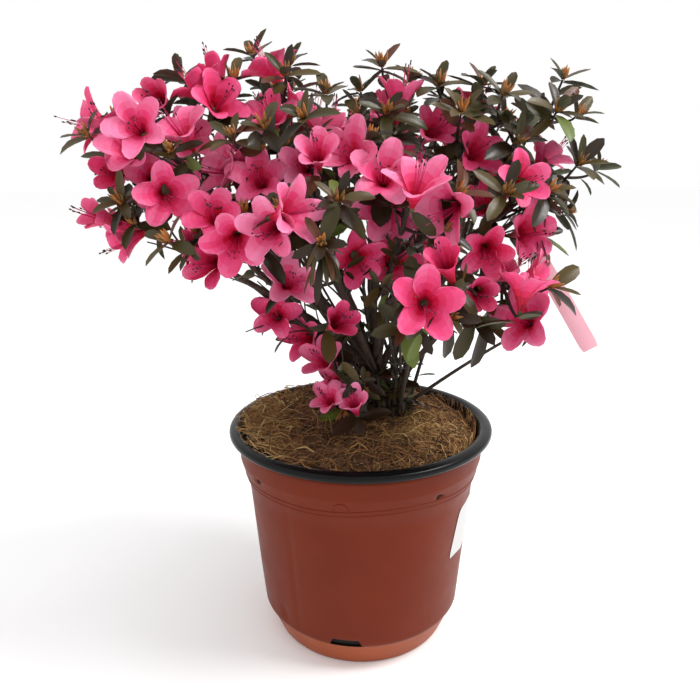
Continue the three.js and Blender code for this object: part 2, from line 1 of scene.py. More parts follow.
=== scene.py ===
"""A flowering azalea shrub in a two-tone plastic nursery pot, laid out as a Blender add-on.

Lengths in this file are millimetres, and turn to metres when a mesh is made. The shrub grows
by one seeded rule: boughs fork from the trunk, twigs fork from the boughs, and each twig ends
in a flower or in a whorl of leaves round a bud.
"""

import functools
import json
from collections import namedtuple
from types import SimpleNamespace

import bpy
import numpy as np
from mathutils import Matrix, Vector

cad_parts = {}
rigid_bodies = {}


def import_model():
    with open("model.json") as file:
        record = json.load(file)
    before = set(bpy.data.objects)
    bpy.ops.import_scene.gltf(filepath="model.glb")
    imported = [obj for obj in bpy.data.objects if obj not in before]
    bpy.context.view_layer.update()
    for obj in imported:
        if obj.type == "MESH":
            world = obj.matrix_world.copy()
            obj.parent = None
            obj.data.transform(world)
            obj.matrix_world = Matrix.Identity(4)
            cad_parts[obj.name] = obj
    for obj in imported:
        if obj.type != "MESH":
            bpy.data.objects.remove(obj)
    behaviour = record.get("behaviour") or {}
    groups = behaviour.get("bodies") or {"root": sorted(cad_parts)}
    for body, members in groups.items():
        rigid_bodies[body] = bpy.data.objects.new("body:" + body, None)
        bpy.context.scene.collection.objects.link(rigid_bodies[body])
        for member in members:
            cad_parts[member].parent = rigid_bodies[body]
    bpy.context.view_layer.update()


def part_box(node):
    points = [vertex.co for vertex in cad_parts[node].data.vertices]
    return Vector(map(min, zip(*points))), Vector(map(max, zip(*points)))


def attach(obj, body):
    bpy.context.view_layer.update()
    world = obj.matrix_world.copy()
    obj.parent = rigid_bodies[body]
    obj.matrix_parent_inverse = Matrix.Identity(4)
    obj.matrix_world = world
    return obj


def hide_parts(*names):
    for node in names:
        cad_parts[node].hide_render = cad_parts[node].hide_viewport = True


bl_info = {
    "name": "Potted Azalea",
    "version": (1, 0, 0),
    "blender": (4, 5, 0),
    "location": "View3D > Sidebar > Azalea",
    "description": "Builds an azalea in flower in a nursery pot round its solid frame",
    "category": "Object",
}

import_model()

MM = 0.001
FULL_TURN = 2 * np.pi
Z = np.array([0.0, 0.0, 1.0])
ASKEW = np.array([0.31, 0.23, 0.92])  # a direction that no tube sets out along

# ---- Main view, in millimetres and in a frame of 700 pixels ----

EYE = np.array([-7.2, -454.0, 336.0])
PITCH = 0.2686
ROLL = -0.0071
FOCAL = 659.0
FRAME_PIXELS = 700
SENSOR = 36.0
AHEAD = np.array([0.0, np.cos(PITCH), -np.sin(PITCH)])
LEVEL_UP = np.array([0.0, np.sin(PITCH), np.cos(PITCH)])
RIGHT = np.cos(ROLL) * np.array([1.0, 0.0, 0.0]) + np.sin(ROLL) * LEVEL_UP
UP = -np.sin(ROLL) * np.array([1.0, 0.0, 0.0]) + np.cos(ROLL) * LEVEL_UP

# ---- Pot and compost ----

RIM_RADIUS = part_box("pot_rim")[1][0] / MM
RIM_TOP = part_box("pot_rim")[1][2] / MM
POT_WALL = 1.8
POT_EDGE_RADIUS = 63.4  # of the flat bottom, inside its rounded edge
POT_FLOOR_RADIUS = 61.0
WALL_OUTSIDE = [(64, 0), (71.8, 19), (73.9, 21), (82.4, 117), (88, 137.5), (88.4, 151.5)]
COMPOST_SIDE = [(83.6, 150), (83.6, 136), (79.6, 116), (71, 21), (61.2, 2.1)]
DRAIN_SLOTS = 4
DRAIN_SLOT = SimpleNamespace(low=20.0, high=26.0, half_turn=0.165, turn=-0.16)
SLOT_TURNS = DRAIN_SLOT.turn + np.arange(DRAIN_SLOTS) * FULL_TURN / DRAIN_SLOTS
TRUNK_FOOT = np.array([18.0, 3.0, 160.0])
COMPOST_FLAT_RADIUS = 22.0
COMPOST_EDGE = 150.5
COMPOST_TILT = 0.055

# ---- Trunk, boughs and sprays ----

TRUNK_TOP = np.array([12.0, 0.0, 194.0])
TRUNK_RADII = (9.5, 7.2)
ROOT_FLARE = 0.45
BOUGH_FOOT_RADIUS = 2.5
BOUGH_TIP_RADIUS = 1.4
BOUGH_GIRTH = 0.5  # added to a bough's foot radius by each bough that forks from it
BOUGH_THINNER = 0.85  # the most that a bough's foot radius is of its parent's radius there
BOUGH_INSIDE = 0.75  # of a spray's reach, from its middle back to the bough's tip
STEM_TIP_RADIUS = 0.9  # of the stem inside a spray
CROWN_HEART = np.array([5.0, 45.0, 245.0])

# A spray's middle, its reach, its flowers, and the limb that its bough forks from, with the share
# of that limb's length below the fork.
Spray = namedtuple("Spray", "middle reach flowers parent fork")
SPRAY_PLAN = {
    "top_left": Spray((-55, -5, 385), 27, 2, "trunk", 0.97),
    "top_right": Spray((73, -12, 360), 33, 3, "trunk", 0.97),
    "left_upper": Spray((-125, -42, 355), 29, 5, "trunk", 0.9),
    "back_centre": Spray((12, 88, 358), 33, 4, "trunk", 0.93),
    "top_centre": Spray((20, -12, 377), 27, 2, "trunk", 0.98),
    "front_centre": Spray((-32, -98, 312), 25, 3, "trunk", 0.85),
    "low_right": Spray((84, -70, 270), 28, 5, "trunk", 0.25),
    "left_low_tip": Spray((-154, -28, 308), 21, 3, "trunk", 0.8),
    "back_left": Spray((-118, 52, 330), 30, 4, "trunk", 0.88),
    "far_right": Spray((140, 4, 330), 24, 1, "trunk", 0.9),
    "front_right": Spray((27, -82, 322), 28, 4, "trunk", 0.92),
    "base": Spray((-14, -38, 192), 18, 3, "trunk", 0.3),
    "left_tip": Spray((-163, -15, 352), 22, 3, "left_upper", 0.55),
    "upper_left": Spray((-97, -8, 383), 25, 3, "left_upper", 0.5),
    "front_left": Spray((-84, -78, 302), 28, 4, "left_low_tip", 0.4),
    "low_left": Spray((-58, -14, 238), 17, 2, "left_low_tip", 0.14),
    "centre_left": Spray((-68, -48, 347), 28, 3, "top_left", 0.45),
    "centre": Spray((-20, -56, 350), 29, 4, "top_centre", 0.4),
    "right": Spray((100, -42, 318), 27, 3, "top_right", 0.35),
    "far_right_top": Spray((124, 2, 370), 24, 0, "top_right", 0.6),
    "low_right_front": Spray((34, -98, 274), 26, 4, "front_right", 0.45),
    "inner": Spray((36, 26, 282), 24, 3, "far_right", 0.2),
    "back_top_left": Spray((-50, 62, 370), 29, 3, "back_left", 0.4),
    "back_right": Spray((84, 62, 343), 31, 3, "back_centre", 0.3),
    "back_low_left": Spray((-62, 88, 295), 28, 4, "back_left", 0.35),
    "back_low_right": Spray((58, 96, 288), 28, 4, "back_right", 0.3),
}
SPRAYS = list(SPRAY_PLAN)
SPRAY_MIDDLES = np.array([plan.middle for plan in SPRAY_PLAN.values()], float)
SPRAY_REACHES = np.array([plan.reach for plan in SPRAY_PLAN.values()], float)

# Flowers at the front of the crown: each one's place in the main view's frame, and how far its
# face leans to the right and upwards in that view.
FRONT_FLOWERS = [
    (81, 121, -0.8, 0.1), (102, 117, -0.2, 0.9), (133, 122, -0.2, 0.2), (174, 119, 0.1, 0.3),
    (152, 95, -0.6, 0.6), (192, 78, -0.3, 0.8), (222, 95, 0.2, 0.5), (266, 56, -0.5, 0.7),
    (124, 143, -0.2, 0.0), (111, 171, -0.7, 0.1), (154, 178, -0.1, -0.2), (191, 134, 0.3, 0.1),
    (89, 213, -0.6, -0.1), (168, 196, 0.0, -0.3), (211, 208, 0.0, -0.1), (235, 245, 0.1, -0.2),
    (205, 265, -0.4, -0.5), (303, 208, 0.1, 0.1), (265, 230, -0.6, -0.3), (303, 163, 0.3, 0.1),
    (257, 171, -0.2, 0.1), (268, 108, 0.0, 0.3), (305, 98, 0.2, 0.4), (330, 115, 0.3, 0.2),
    (316, 145, 0.0, 0.1), (345, 147, -0.1, 0.7), (402, 82, 0.1, 0.6),
    (439, 124, 0.0, 0.2), (385, 170, -0.3, 0.1), (418, 174, 0.4, 0.2), (439, 212, -0.2, -0.3),
    (483, 147, 0.0, 0.3), (529, 178, 0.2, 0.1), (555, 147, 0.5, 0.3),
    (536, 231, 0.5, 0.3), (483, 197, 0.0, 0.0), (442, 256, -0.4, 0.2), (488, 254, 0.0, -0.2),
    (527, 273, 0.2, -0.1), (427, 304, 0.0, 0.0), (517, 317, 0.0, -0.2), (274, 312, -0.6, 0.2),
    (299, 337, -0.5, -0.4), (320, 355, -0.4, 0.1), (352, 398, 0.0, -0.05),
]

# Flowers in the shade further in, placed in the same frame, and how much deeper they stand.
INNER_FLOWERS = [
    (360, 262, 0.0, 0.0), (395, 260, 0.0, 0.0), (343, 319, -0.2, 0.0), (292, 276, 0.2, -0.1),
    (387, 210, 0.0, -0.2), (325, 394, -0.4, -0.3), (332, 378, -0.3, 0.1),
]
INNER_DEPTHS = [44, 44, 34, 30, 34, 9, 16]

# Whorls of leaves at the front of the crown, placed in the same frame.
FRONT_WHORLS = [
    (285, 73), (234, 77), (213, 102), (264, 126), (170, 150), (87, 134), (303, 116), (326, 91),
    (121, 201), (382, 64), (386, 112), (439, 83), (462, 110), (504, 93), (558, 110), (504, 118),
    (457, 135), (516, 142), (482, 165), (579, 163), (550, 190), (506, 192), (459, 192),
    (328, 351), (322, 243),
]
DROOPING_WHORL = len(FRONT_FLOWERS + INNER_FLOWERS + FRONT_WHORLS) - 1

# Bare stems in sight: where each leaves the compost, from the trunk's foot, and the number of
# the flower that it leads to.
SEEN_STEMS = [((7, 6), FRONT_FLOWERS.index((517, 317, 0.0, -0.2))),
              ((9, -5), FRONT_FLOWERS.index((427, 304, 0.0, 0.0)))]

# Small leafy shoots round the trunk's foot.
TUFTS = np.array([
    (21, -13, 186), (34, -10, 179), (4, -16, 178), (31, 10, 188), (12, -17, 198), (40, 4, 172),
    (26, -16, 206), (-2, 8, 190), (20, 22, 184),
], float)

TAG = SimpleNamespace(width=11.5, thickness=0.6, limb="far_right", along=0.85, tip=(149, -42, 222))

# ---- Colours ----

PETAL_STOPS = ((0.0, "#a80826"), (0.3, "#ce1443"), (0.62, "#e24078"), (1.0, "#e98fb4"))
PETAL_TONES = 18
FILAMENT, ANTHER, CALYX = "#b8205a", "#35121c", "#4d4a26"
BUDS = {"amber": "#a8682c", "brown": "#7d5a2e"}
TWIGS = {"brown": "#2e2119", "grey": "#3a2e25"}
BARK_RIDGES = "#503a2e"

# Leaf finishes: the colour and the roughness of each.
LEAVES = {
    "dark": ("#281c0e", 0.36), "green": ("#383114", 0.38), "olive": ("#4b3d1b", 0.4),
    "bronze": ("#552c1a", 0.42), "underside": ("#51543f", 0.62), "young": ("#5b672b", 0.4),
    "dry": ("#50301a", 0.7),
}
DARK, GREEN, OLIVE, BRONZE, UNDERSIDE, YOUNG, DRY = range(len(LEAVES))

FIBRES = {"dark": "#3f2818", "brown": "#66442a", "tan": "#8f6238", "straw": "#ad854f", "pale": "#c9a870"}
# The third compost colour is near black: painted shade for the bed's side and bottom, seen through the
# drain slots.
COMPOST, COMPOST_CRUMBS, COMPOST_PAINTED_SHADE = "#2b1d11", "#825c37", "#0c0805"
WALL_MOTTLE, FOOT_MOTTLE = "#6f260a", "#994d2d"
# Near black for the drain slots' sides and the deep notch faces: painted shade in the recesses.
PAINTED_RECESS_SHADE, PAINTED_RECESS_MOTTLE = "#1c0a05", "#120804"
RIM_MOTTLE = "#0a0b0b"
LABEL_MOTTLE = "#e9aeba"
STICKER = (0.55, 0.54, 0.53, 1)


def colour(text):
    """A hexadecimal sRGB colour as linear light: the power law, straight near black."""
    coded = np.array([int(text[k : k + 2], 16) for k in (1, 3, 5)]) / 255
    linear = np.where(coded <= 0.04045, coded / 12.92, ((coded + 0.055) / 1.055) ** 2.4)
    return (*linear, 1.0)


# ---- Settings that a user may change ----


def length(name, description, millimetres):
    """A length property, with its default given in millimetres."""
    return bpy.props.FloatProperty(
        name=name, description=description, default=millimetres * MM, min=0.0, unit="LENGTH"
    )


def tint(name, description, text):
    """A colour property, with its default given in hexadecimal."""
    return bpy.props.FloatVectorProperty(
        name=name, description=description, default=colour(text), size=4, min=0, max=1, subtype="COLOR"
    )


class AzaleaSizes(bpy.types.PropertyGroup):
    """Sizes of the shrub's parts."""

    flower_radius: length("Flower radius", "From a flower's middle to the tips of its petals", 20.5)
    flower_depth: length("Flower depth", "From the foot of a flower's tube to its face", 22)
    petal_half_width: length("Petal half width", "Half the width of a petal at its widest", 8.7)
    leaf_length: length("Leaf length", "Length of a full-grown leaf", 21.5)
    leaf_half_width: length("Leaf half width", "Half the width of a full-grown leaf", 3.8)
    twig_radius: length("Twig radius", "Radius of a twig at its shoot", 0.7)
    fibres: bpy.props.IntProperty(
        name="Fibres", description="Number of coir fibres on the compost", default=6300, min=0
    )


class AzaleaColours(bpy.types.PropertyGroup):
    """Colours of the pot, the bark and the label."""

    wall: tint("Pot wall", "Terracotta plastic of the pot's wall", "#5f1c04")
    foot: tint("Pot foot", "Brighter plastic below the drain slots", "#8f4325")
    rim: tint("Rim", "Black plastic of the rim", "#050505")
    bark: tint("Bark", "Bark of the boughs", "#231510")
    label: tint("Label", "Plastic of the hanging label", "#dc9dab")


# ---- Numbers ----


def mix(a, b, share):
    """A straight blend: a plus the share of the way from a to b."""
    return a + (b - a) * share


def unit(vectors):
    """Vectors divided by their lengths."""
    return vectors / np.linalg.norm(vectors, axis=-1, keepdims=True)


def dot(a, b):
    """The sum of the products of two vectors' parts, with the last axis kept."""
    return (a * b).sum(-1, keepdims=True)


def bell(distance, width):
    """A bell curve: e to the power of minus the square of distance over width."""
    return np.exp(-((distance / width) ** 2))


def wrapped(angle):
    """An angle brought to within half a turn of zero."""
    return (angle + np.pi) % FULL_TURN - np.pi


def bezier(corners, shares):
    """Points of a Bezier curve by de Casteljau's rule: blend neighbours until one row is left."""
    rows = [np.asarray(corner, float)[..., None, :] for corner in corners]
    shares = np.asarray(shares, float)[:, None]
    while len(rows) > 1:
        rows = [mix(a, b, shares) for a, b in zip(rows, rows[1:])]
    return rows[0]


def polar_frame(axis, turn):
    """Two directions square to an axis and to each other. The first is level, turned about it."""
    side = unit(np.cross(Z, axis) + 1e-6)
    third = np.cross(axis, side)
    turn = np.asarray(turn)[..., None]
    first = side * np.cos(turn) + third * np.sin(turn)
    return first, np.cross(axis, first)


class Path:
    """A Bezier curve that is read by the share of its length."""

    def __init__(self, *corners):
        self.points = bezier(corners, np.linspace(0, 1, 201))
        steps = np.linalg.norm(np.diff(self.points, axis=0), axis=1)
        self.reached = np.concatenate([[0], np.cumsum(steps)])
        self.length = self.reached[-1]

    def at(self, share):
        """Points at these shares of the length, between the nearest computed points."""
        place = np.asarray(share, float) * self.length
        return np.stack([np.interp(place, self.reached, self.points[:, k]) for k in range(3)], -1)

    def tangent(self, share):
        """Direction at these shares: from just before to just after."""
        share = np.asarray(share, float)
        return unit(self.at(np.minimum(share + 0.01, 1)) - self.at(np.maximum(share - 0.01, 0)))


# ---- Meshes ----


class Batch:
    """Gathers many copies of small shells into one mesh."""

    def __init__(self):
        self.points, self.faces, self.slots, self.rims = [], {3: [], 4: []}, {3: [], 4: []}, []
        self.count = 0

    def add(self, points, faces, slots=0, rim=None):
        """Adds copies of a shell: points (copies, V, 3), faces as rows of 3 or 4 indices, and a
        material slot for each face, or for each face of each copy."""
        copies, size = points.shape[:2]
        starts = self.count + size * np.arange(copies)
        self.points.append(points.reshape(-1, 3))
        self.rims.append(np.tile(np.zeros(size, bool) if rim is None else rim, copies))
        for rows, row_slots in zip(faces, slots if isinstance(slots, tuple) else (slots,) * len(faces)):
            corners = rows.shape[1]
            self.faces[corners].append((rows[None] + starts[:, None, None]).reshape(-1, corners))
            spread = np.broadcast_to(row_slots, (copies, len(rows)))
            self.slots[corners].append(spread.reshape(-1))
        self.count += copies * size

    def build(self, name, materials, replaces=()):
        """Makes the object. Edges between two rim points are sharp, so thin sheets shade well."""
        rows = {k: np.concatenate(v) if v else np.zeros((0, k), int) for k, v in self.faces.items()}
        slots = np.concatenate([row for k in (3, 4) for row in self.slots[k]])
        loops = np.concatenate([rows[3].ravel(), rows[4].ravel()]).astype(np.int32)
        totals = np.concatenate([np.full(len(rows[3]), 3), np.full(len(rows[4]), 4)])
        mesh = bpy.data.meshes.new(name)
        mesh.vertices.add(self.count)
        mesh.vertices.foreach_set("co", (np.concatenate(self.points) * MM).astype(np.float32).ravel())
        mesh.loops.add(len(loops))
        mesh.loops.foreach_set("vertex_index", loops)
        mesh.polygons.add(len(totals))
        starts = np.concatenate([[0], np.cumsum(totals)[:-1]]).astype(np.int32)
        mesh.polygons.foreach_set("loop_start", starts)
        mesh.polygons.foreach_set("material_index", slots.astype(np.int32))
        mesh.polygons.foreach_set("use_smooth", np.ones(len(totals), bool))
        mesh.update(calc_edges=True)
        rim = np.concatenate(self.rims)
        if rim.any():
            ends = np.empty(2 * len(mesh.edges), np.int32)
            mesh.edges.foreach_get("vertices", ends)
            sharp = mesh.attributes.new("sharp_edge", "BOOLEAN", "EDGE")
            sharp.data.foreach_set("value", rim[ends.reshape(-1, 2)].all(axis=1))
        if mesh.validate():
            raise RuntimeError(f"the mesh of {name} has faults")
        made = bpy.data.objects.new(name, mesh)
        bpy.context.scene.collection.objects.link(made)
        for material in materials:
            mesh.materials.append(material)
        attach(made, "root")
        if replaces:
            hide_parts(*replaces)
        return made


def one_tone_each(tone, faces):
    """Material slots for copies that are each all of one tone."""
    return tuple(np.broadcast_to(tone, (len(tone), len(rows))) for rows in faces)


def grid_faces(rows, columns, joined=False):
    """Four-cornered faces of a grid of points; a joined grid's last column meets its first."""
    places = np.arange(rows * columns).reshape(rows, columns)
    if joined:
        places = np.concatenate([places, places[:, :1]], axis=1)
    a, b, c, d = places[:-1, :-1], places[:-1, 1:], places[1:, 1:], places[1:, :-1]
    return np.stack([a, b, c, d], -1).reshape(-1, 4)


def fan_faces(ring, middle):
    """Triangles from a ring of points to one in its middle."""
    return np.stack([np.roll(ring, -1), ring, np.full(len(ring), middle)], -1)


@functools.cache
def sheet_faces(rows, columns):
    """A thin closed sheet's faces. Its front and back are grids that share their border points."""
    front = np.arange(rows * columns).reshape(rows, columns)
    back = front.copy()
    inner = (rows - 2) * (columns - 2)
    back[1:-1, 1:-1] = rows * columns + np.arange(inner).reshape(rows - 2, columns - 2)
    faces = []
    for side in (front, back):
        a, b, c, d = side[:-1, :-1], side[1:, :-1], side[1:, 1:], side[:-1, 1:]
        faces.append(np.stack([a, b, c, d], -1).reshape(-1, 4))
    rim = np.zeros(rows * columns + inner, bool)
    rim[front[[0, -1]].ravel()] = True
    rim[front[:, [0, -1]].ravel()] = True
    return np.concatenate([faces[0], faces[1][:, ::-1]]), rim


def sheet_points(front, thickness):
    """A sheet's points: its front (N, rows, columns, 3), then its back, shifted by the thickness."""
    copies = front.shape[0]
    back = (front + thickness)[:, 1:-1, 1:-1]
    return np.concatenate([front.reshape(copies, -1, 3), back.reshape(copies, -1, 3)], axis=1)


def tubes(paths, radii, sides):
    """Closed tubes. A ring of points stands square to each path at each of its points, and its
    first direction is carried along without twist: the last one, less its part along the path.
    The radii are one for each step, or spread to (copies, steps, sides)."""
    copies, steps = paths.shape[:2]
    radii = np.asarray(radii, float)
    if radii.ndim == 1:
        radii = radii[:, None]
    along = unit(np.gradient(paths, axis=1))
    side = unit(np.cross(along[:, 0], ASKEW) + 1e-6)
    firsts = []
    for step in range(steps):
        side = unit(side - along[:, step] * dot(side, along[:, step]))
        firsts.append(side)
    first = np.stack(firsts, axis=1)[:, :, None]
    second = np.cross(along[:, :, None], first)
    angle = (np.arange(sides) * FULL_TURN / sides)[:, None]
    rings = first * np.cos(angle) + second * np.sin(angle)
    points = paths[:, :, None] + rings * np.broadcast_to(radii, (copies, steps, sides))[..., None]
    quads = grid_faces(steps, sides, joined=True)
    fan = np.arange(1, sides - 1)
    last = (steps - 1) * sides
    foot = np.stack([0 * fan, fan + 1, fan], -1)
    tip = np.stack([0 * fan + last, last + fan, last + fan + 1], -1)
    return points.reshape(copies, -1, 3), (np.concatenate([foot, tip]), quads)


# ---- Materials ----


class Signal:
    """A shader socket that arithmetic can be done on."""

    def __init__(self, finish, socket):
        self.finish, self.socket = finish, socket

    def _math(self, operation, *terms):
        return self.finish.node("ShaderNodeMath", {"operation": operation}, dict(enumerate(terms)))

    def __add__(self, other):
        return self._math("ADD", self, other)

    def __mul__(self, other):
        return self._math("MULTIPLY", self, other)

    def __pow__(self, other):
        return self._math("POWER", self, other)

    __radd__ = __add__
    __rmul__ = __mul__


class Finish:
    """A material made of nodes round one Principled BSDF."""

    MIX_FIRST, MIX_SECOND, MIX_RESULT = 6, 7, 2  # a Mix node's colour sockets

    def __init__(self, name, **constants):
        self.material = bpy.data.materials.new(name)
        self.material.use_nodes = True
        self.tree = self.material.node_tree
        self.shader = self.tree.nodes["Principled BSDF"]
        for socket, value in constants.items():
            self.feed(socket.replace("_", " ").title().replace("Ior", "IOR"), value)

    def feed(self, socket, value):
        """Sets one of the main shader's sockets to a number, a colour or a signal."""
        self._join(self.shader.inputs[socket], value)

    def _join(self, socket, value):
        if isinstance(value, Signal):
            self.tree.links.new(value.socket, socket)
        else:
            socket.default_value = value

    def node(self, kind, settings=None, inputs=None, output=0):
        """Adds a node: its settings come first, then the values or links of its sockets."""
        node = self.tree.nodes.new(kind)
        for setting, value in (settings or {}).items():
            setattr(node, setting, value)
        for socket, value in (inputs or {}).items():
            self._join(node.inputs[socket], value)
        return Signal(self, node.outputs[output])

    def noise(self, grain, detail=2.0, stretch=(1, 1, 1)):
        """Noise in the piece's own space, with grains of about this many millimetres."""
        place = self.node("ShaderNodeTexCoord", output="Object")
        scaled = self.node("ShaderNodeMapping", {}, {"Vector": place, "Scale": stretch})
        values = {"Vector": scaled, "Scale": 1 / (grain * MM), "Detail": detail}
        return self.node("ShaderNodeTexNoise", {}, values, "Fac")

    def blend(self, share, first, second):
        """A colour between two, by a share."""
        inputs = {"Factor": share, self.MIX_FIRST: first, self.MIX_SECOND: second}
        return self.node("ShaderNodeMix", {"data_type": "RGBA"}, inputs, self.MIX_RESULT)

    def bump(self, height, strength, distance):
        """Feeds the shader's normal with a height in millimetres."""
        values = {"Height": height, "Strength": strength, "Distance": distance * MM}
        self.feed("Normal", self.node("ShaderNodeBump", {}, values))


def plain_finish(name, base, roughness, grain, relief, **constants):
    """One base colour, with a roughness and a fine relief that vary by noise."""
    finish = Finish(name, base_color=base, **constants)
    finish.feed("Roughness", finish.noise(grain * 3) * 0.24 + (roughness - 0.12))
    finish.bump(finish.noise(grain), 0.5, relief)
    return finish.material


def petal_finishes():
    """Rose petals in even tones from throat to edge: straight blends between the stops."""
    places = [place for place, _ in PETAL_STOPS]
    stops = np.array([colour(text) for _, text in PETAL_STOPS])
    shares = np.linspace(0, 1, PETAL_TONES)
    tones = np.stack([np.interp(shares, places, stops[:, k]) for k in range(4)], axis=1)
    return [
        plain_finish(
            f"petal_{k}", tuple(tone), 0.55, 1.6, 0.16, specular_ior_level=0.3,
            subsurface_weight=0.12, subsurface_scale=0.004, subsurface_radius=(1, 0.3, 0.3),
        )
        for k, tone in enumerate(tones)
    ]


def leaf_finishes():
    """Leaves: dark, green, olive, bronze, underside, young and dry."""
    return [
        plain_finish(f"leaf_{name}", colour(text), roughness, 1.2, 0.18, specular_ior_level=0.28)
        for name, (text, roughness) in LEAVES.items()
    ]


def bark_finish():
    """Grey-brown bark, lighter on its ridges, with fine cracks along the limbs."""
    finish = Finish("bark")
    grain = finish.noise(2.2, 4.0, (1, 1, 0.35))
    bark = bpy.context.scene.azalea_colours.bark
    finish.feed("Base Color", finish.blend(grain**2.0 * 1.6, tuple(bark), colour(BARK_RIDGES)))
    finish.feed("Roughness", finish.noise(5) * 0.2 + 0.72)
    finish.bump(grain, 0.8, 0.5)
    return finish.material


# ---- Growth ----

GOLDEN_ANGLE = 2.4
FRONT_LIMIT = -119.0  # no front flower stands before this y
FRONT_FLOWER_GAP = 27
FRONT_FLOWER_SHARE = 0.8  # of a spray's reach, where a front flower stands
FRONT_WHORL_SHARE = 0.85
LEAN_UPWARD = (0.0, 0.2)
LEAN_SPREAD = 0.28
LEAST_STRAIGHT = 0.05  # of the square of how far a front flower faces the view
NEARNESS = 0.004  # how much a spray's depth in the view counts against it
EASE_ROUNDS, EASE_STEP = 90, 0.12

# The room that a shoot needs, in millimetres: inside its cell's border, to the limbs, to the
# label, above the pot, off the view's lines to the front flowers, and to the next shoot. The
# spread is how far round its spray it may stand, as one less the cosine from the way out.
FLOWER_ROOM = SimpleNamespace(cell=3, limbs=8, tag=20, pot=16, sight=19, shoot=21, spread=1.2)
WHORL_ROOM = SimpleNamespace(cell=-3, limbs=3, tag=22, pot=8, sight=22, shoot=11, spread=1.6)
FULL_ROOM = 60  # more room than this counts for no more

# Flowers for each one planned, and whorls for each square of ten millimetres' reach.
FLOWER_SHARE = 1.15
USUAL_LEAF_SHARE = 0.74
LEAF_SHARE = {
    "base": 0.5, "low_left": 0.5, "inner": 0.5, "left_tip": 0.5, "left_low_tip": 0.4,
    "left_upper": 0.6, "upper_left": 0.6, "centre_left": 0.6, "top_right": 0.55, "far_right": 0.6,
    "far_right_top": 0.6, "top_left": 0.6,
}


def outward_at(points):
    """The way out of the crown: from its heart through a point."""
    return unit(np.asarray(points, float) - CROWN_HEART)


def trunk_radius(along, angle):
    """Thins upwards in a straight line, and swells near its foot into four root ridges."""
    swelling = ROOT_FLARE * np.maximum(0, 1 - along / 0.35) ** 2
    return mix(*TRUNK_RADII, along) * (1 + swelling * (1 + 0.35 * np.cos(4 * angle)))


def bough_radius(foot_radius, along):
    """Thins from the foot to the tip by the share of the length to the power 0.8."""
    return mix(foot_radius, BOUGH_TIP_RADIUS, along**0.8)


@functools.cache
def grown_limbs():
    """The trunk and each spray's bough. A bough leaves its parent between the parent's own
    direction and the straight way to its spray, nearer the first the higher it forks."""
    trunk = Path(TRUNK_FOOT, TRUNK_FOOT + (0, 0, 18), TRUNK_TOP)
    limbs = {"trunk": SimpleNamespace(path=trunk, foot_radius=TRUNK_RADII[0])}
    for name, (middle, reach, _, parent_name, fork) in SPRAY_PLAN.items():
        parent = limbs[parent_name]
        foot = parent.path.at(fork)
        aim = unit(np.array(middle) - foot)
        arrival = unit(mix(aim, outward_at(middle), 0.35))
        tip = middle - BOUGH_INSIDE * reach * arrival
        departure = unit(parent.path.tangent(fork) * fork + aim)
        length = np.linalg.norm(tip - foot)
        path = Path(foot, foot + 0.35 * length * departure, tip - 0.3 * length * arrival, tip)
        children = sum(plan.parent == name for plan in SPRAY_PLAN.values())
        on_trunk = parent_name == "trunk"
        there = mix(*TRUNK_RADII, fork) if on_trunk else bough_radius(parent.foot_radius, fork)
        foot_radius = min(BOUGH_FOOT_RADIUS + BOUGH_GIRTH * children, BOUGH_THINNER * there)
        limbs[name] = SimpleNamespace(path=path, foot_radius=foot_radius, arrival=arrival, tip=tip)
    return limbs


def view_rays(pixels):
    """Directions from the eye through places in the main view's frame: ahead, plus the offset
    from the frame's middle over the focal length."""
    x = (pixels[:, :1] - FRAME_PIXELS / 2) / FOCAL
    y = (FRAME_PIXELS / 2 - pixels[:, 1:2]) / FOCAL
    return unit(AHEAD + RIGHT * x + UP * y)


def front_places(pixels, share):
    """Places at the front of the sprays on the view's rays. Each ray goes to the spray it
    passes closest to, and meets a ball of this share of the spray's reach."""
    rays = view_rays(pixels)
    along = (SPRAY_MIDDLES - EYE) @ rays.T
    miss = np.linalg.norm(SPRAY_MIDDLES - EYE, axis=1)[:, None] ** 2 - along**2
    own = (miss / SPRAY_REACHES[:, None] ** 2 + NEARNESS * along).argmin(axis=0)
    rows = np.arange(len(own))
    inside = (share * SPRAY_REACHES[own]) ** 2 - miss[own, rows]
    return rays, along[own, rows] - np.sqrt(np.maximum(inside, 0)), own


def ease_apart(rays, depths, gap, room=24):
    """Slides places along their rays until they stand a gap apart, or by the room at most."""
    first = depths.copy()
    for _ in range(EASE_ROUNDS):
        points = EYE + rays * depths[:, None]
        between = points[:, None] - points[None]
        distance = np.linalg.norm(between, axis=2)
        np.fill_diagonal(distance, np.inf)
        push = np.maximum(0, gap - distance)
        way = np.sign((between * rays[:, None]).sum(-1) + 1e-3 * (first[:, None] - first[None]))
        moved = depths + EASE_STEP * (push * way).sum(axis=1)
        depths = np.clip(moved, first - room, first + room)
    return depths


def depth_in_cell(points, own):
    """How far points lie inside a spray's cell of the crown: the cells are a power diagram."""
    power = ((points[:, None] - SPRAY_MIDDLES) ** 2).sum(-1) - SPRAY_REACHES**2
    between = np.linalg.norm(SPRAY_MIDDLES - SPRAY_MIDDLES[own], axis=1)
    between[own] = 1
    depth = (power - power[:, own : own + 1]) / (2 * between)
    depth[:, own] = np.inf
    return depth.min(axis=1)


@functools.cache
def limb_samples():
    """Points spread along all boughs, and the boughs' radii there."""
    shares = np.linspace(0.02, 1, 24)
    boughs = [limb for name, limb in grown_limbs().items() if name != "trunk"]
    points = np.concatenate([limb.path.at(shares) for limb in boughs])
    radii = np.concatenate([bough_radius(limb.foot_radius, shares) for limb in boughs])
    return points, radii


def gap_to_limbs(points):
    """Distance from points to the nearest bough's bark."""
    centres, radii = limb_samples()
    return (np.linalg.norm(points[:, None] - centres, axis=2) - radii).min(axis=1)


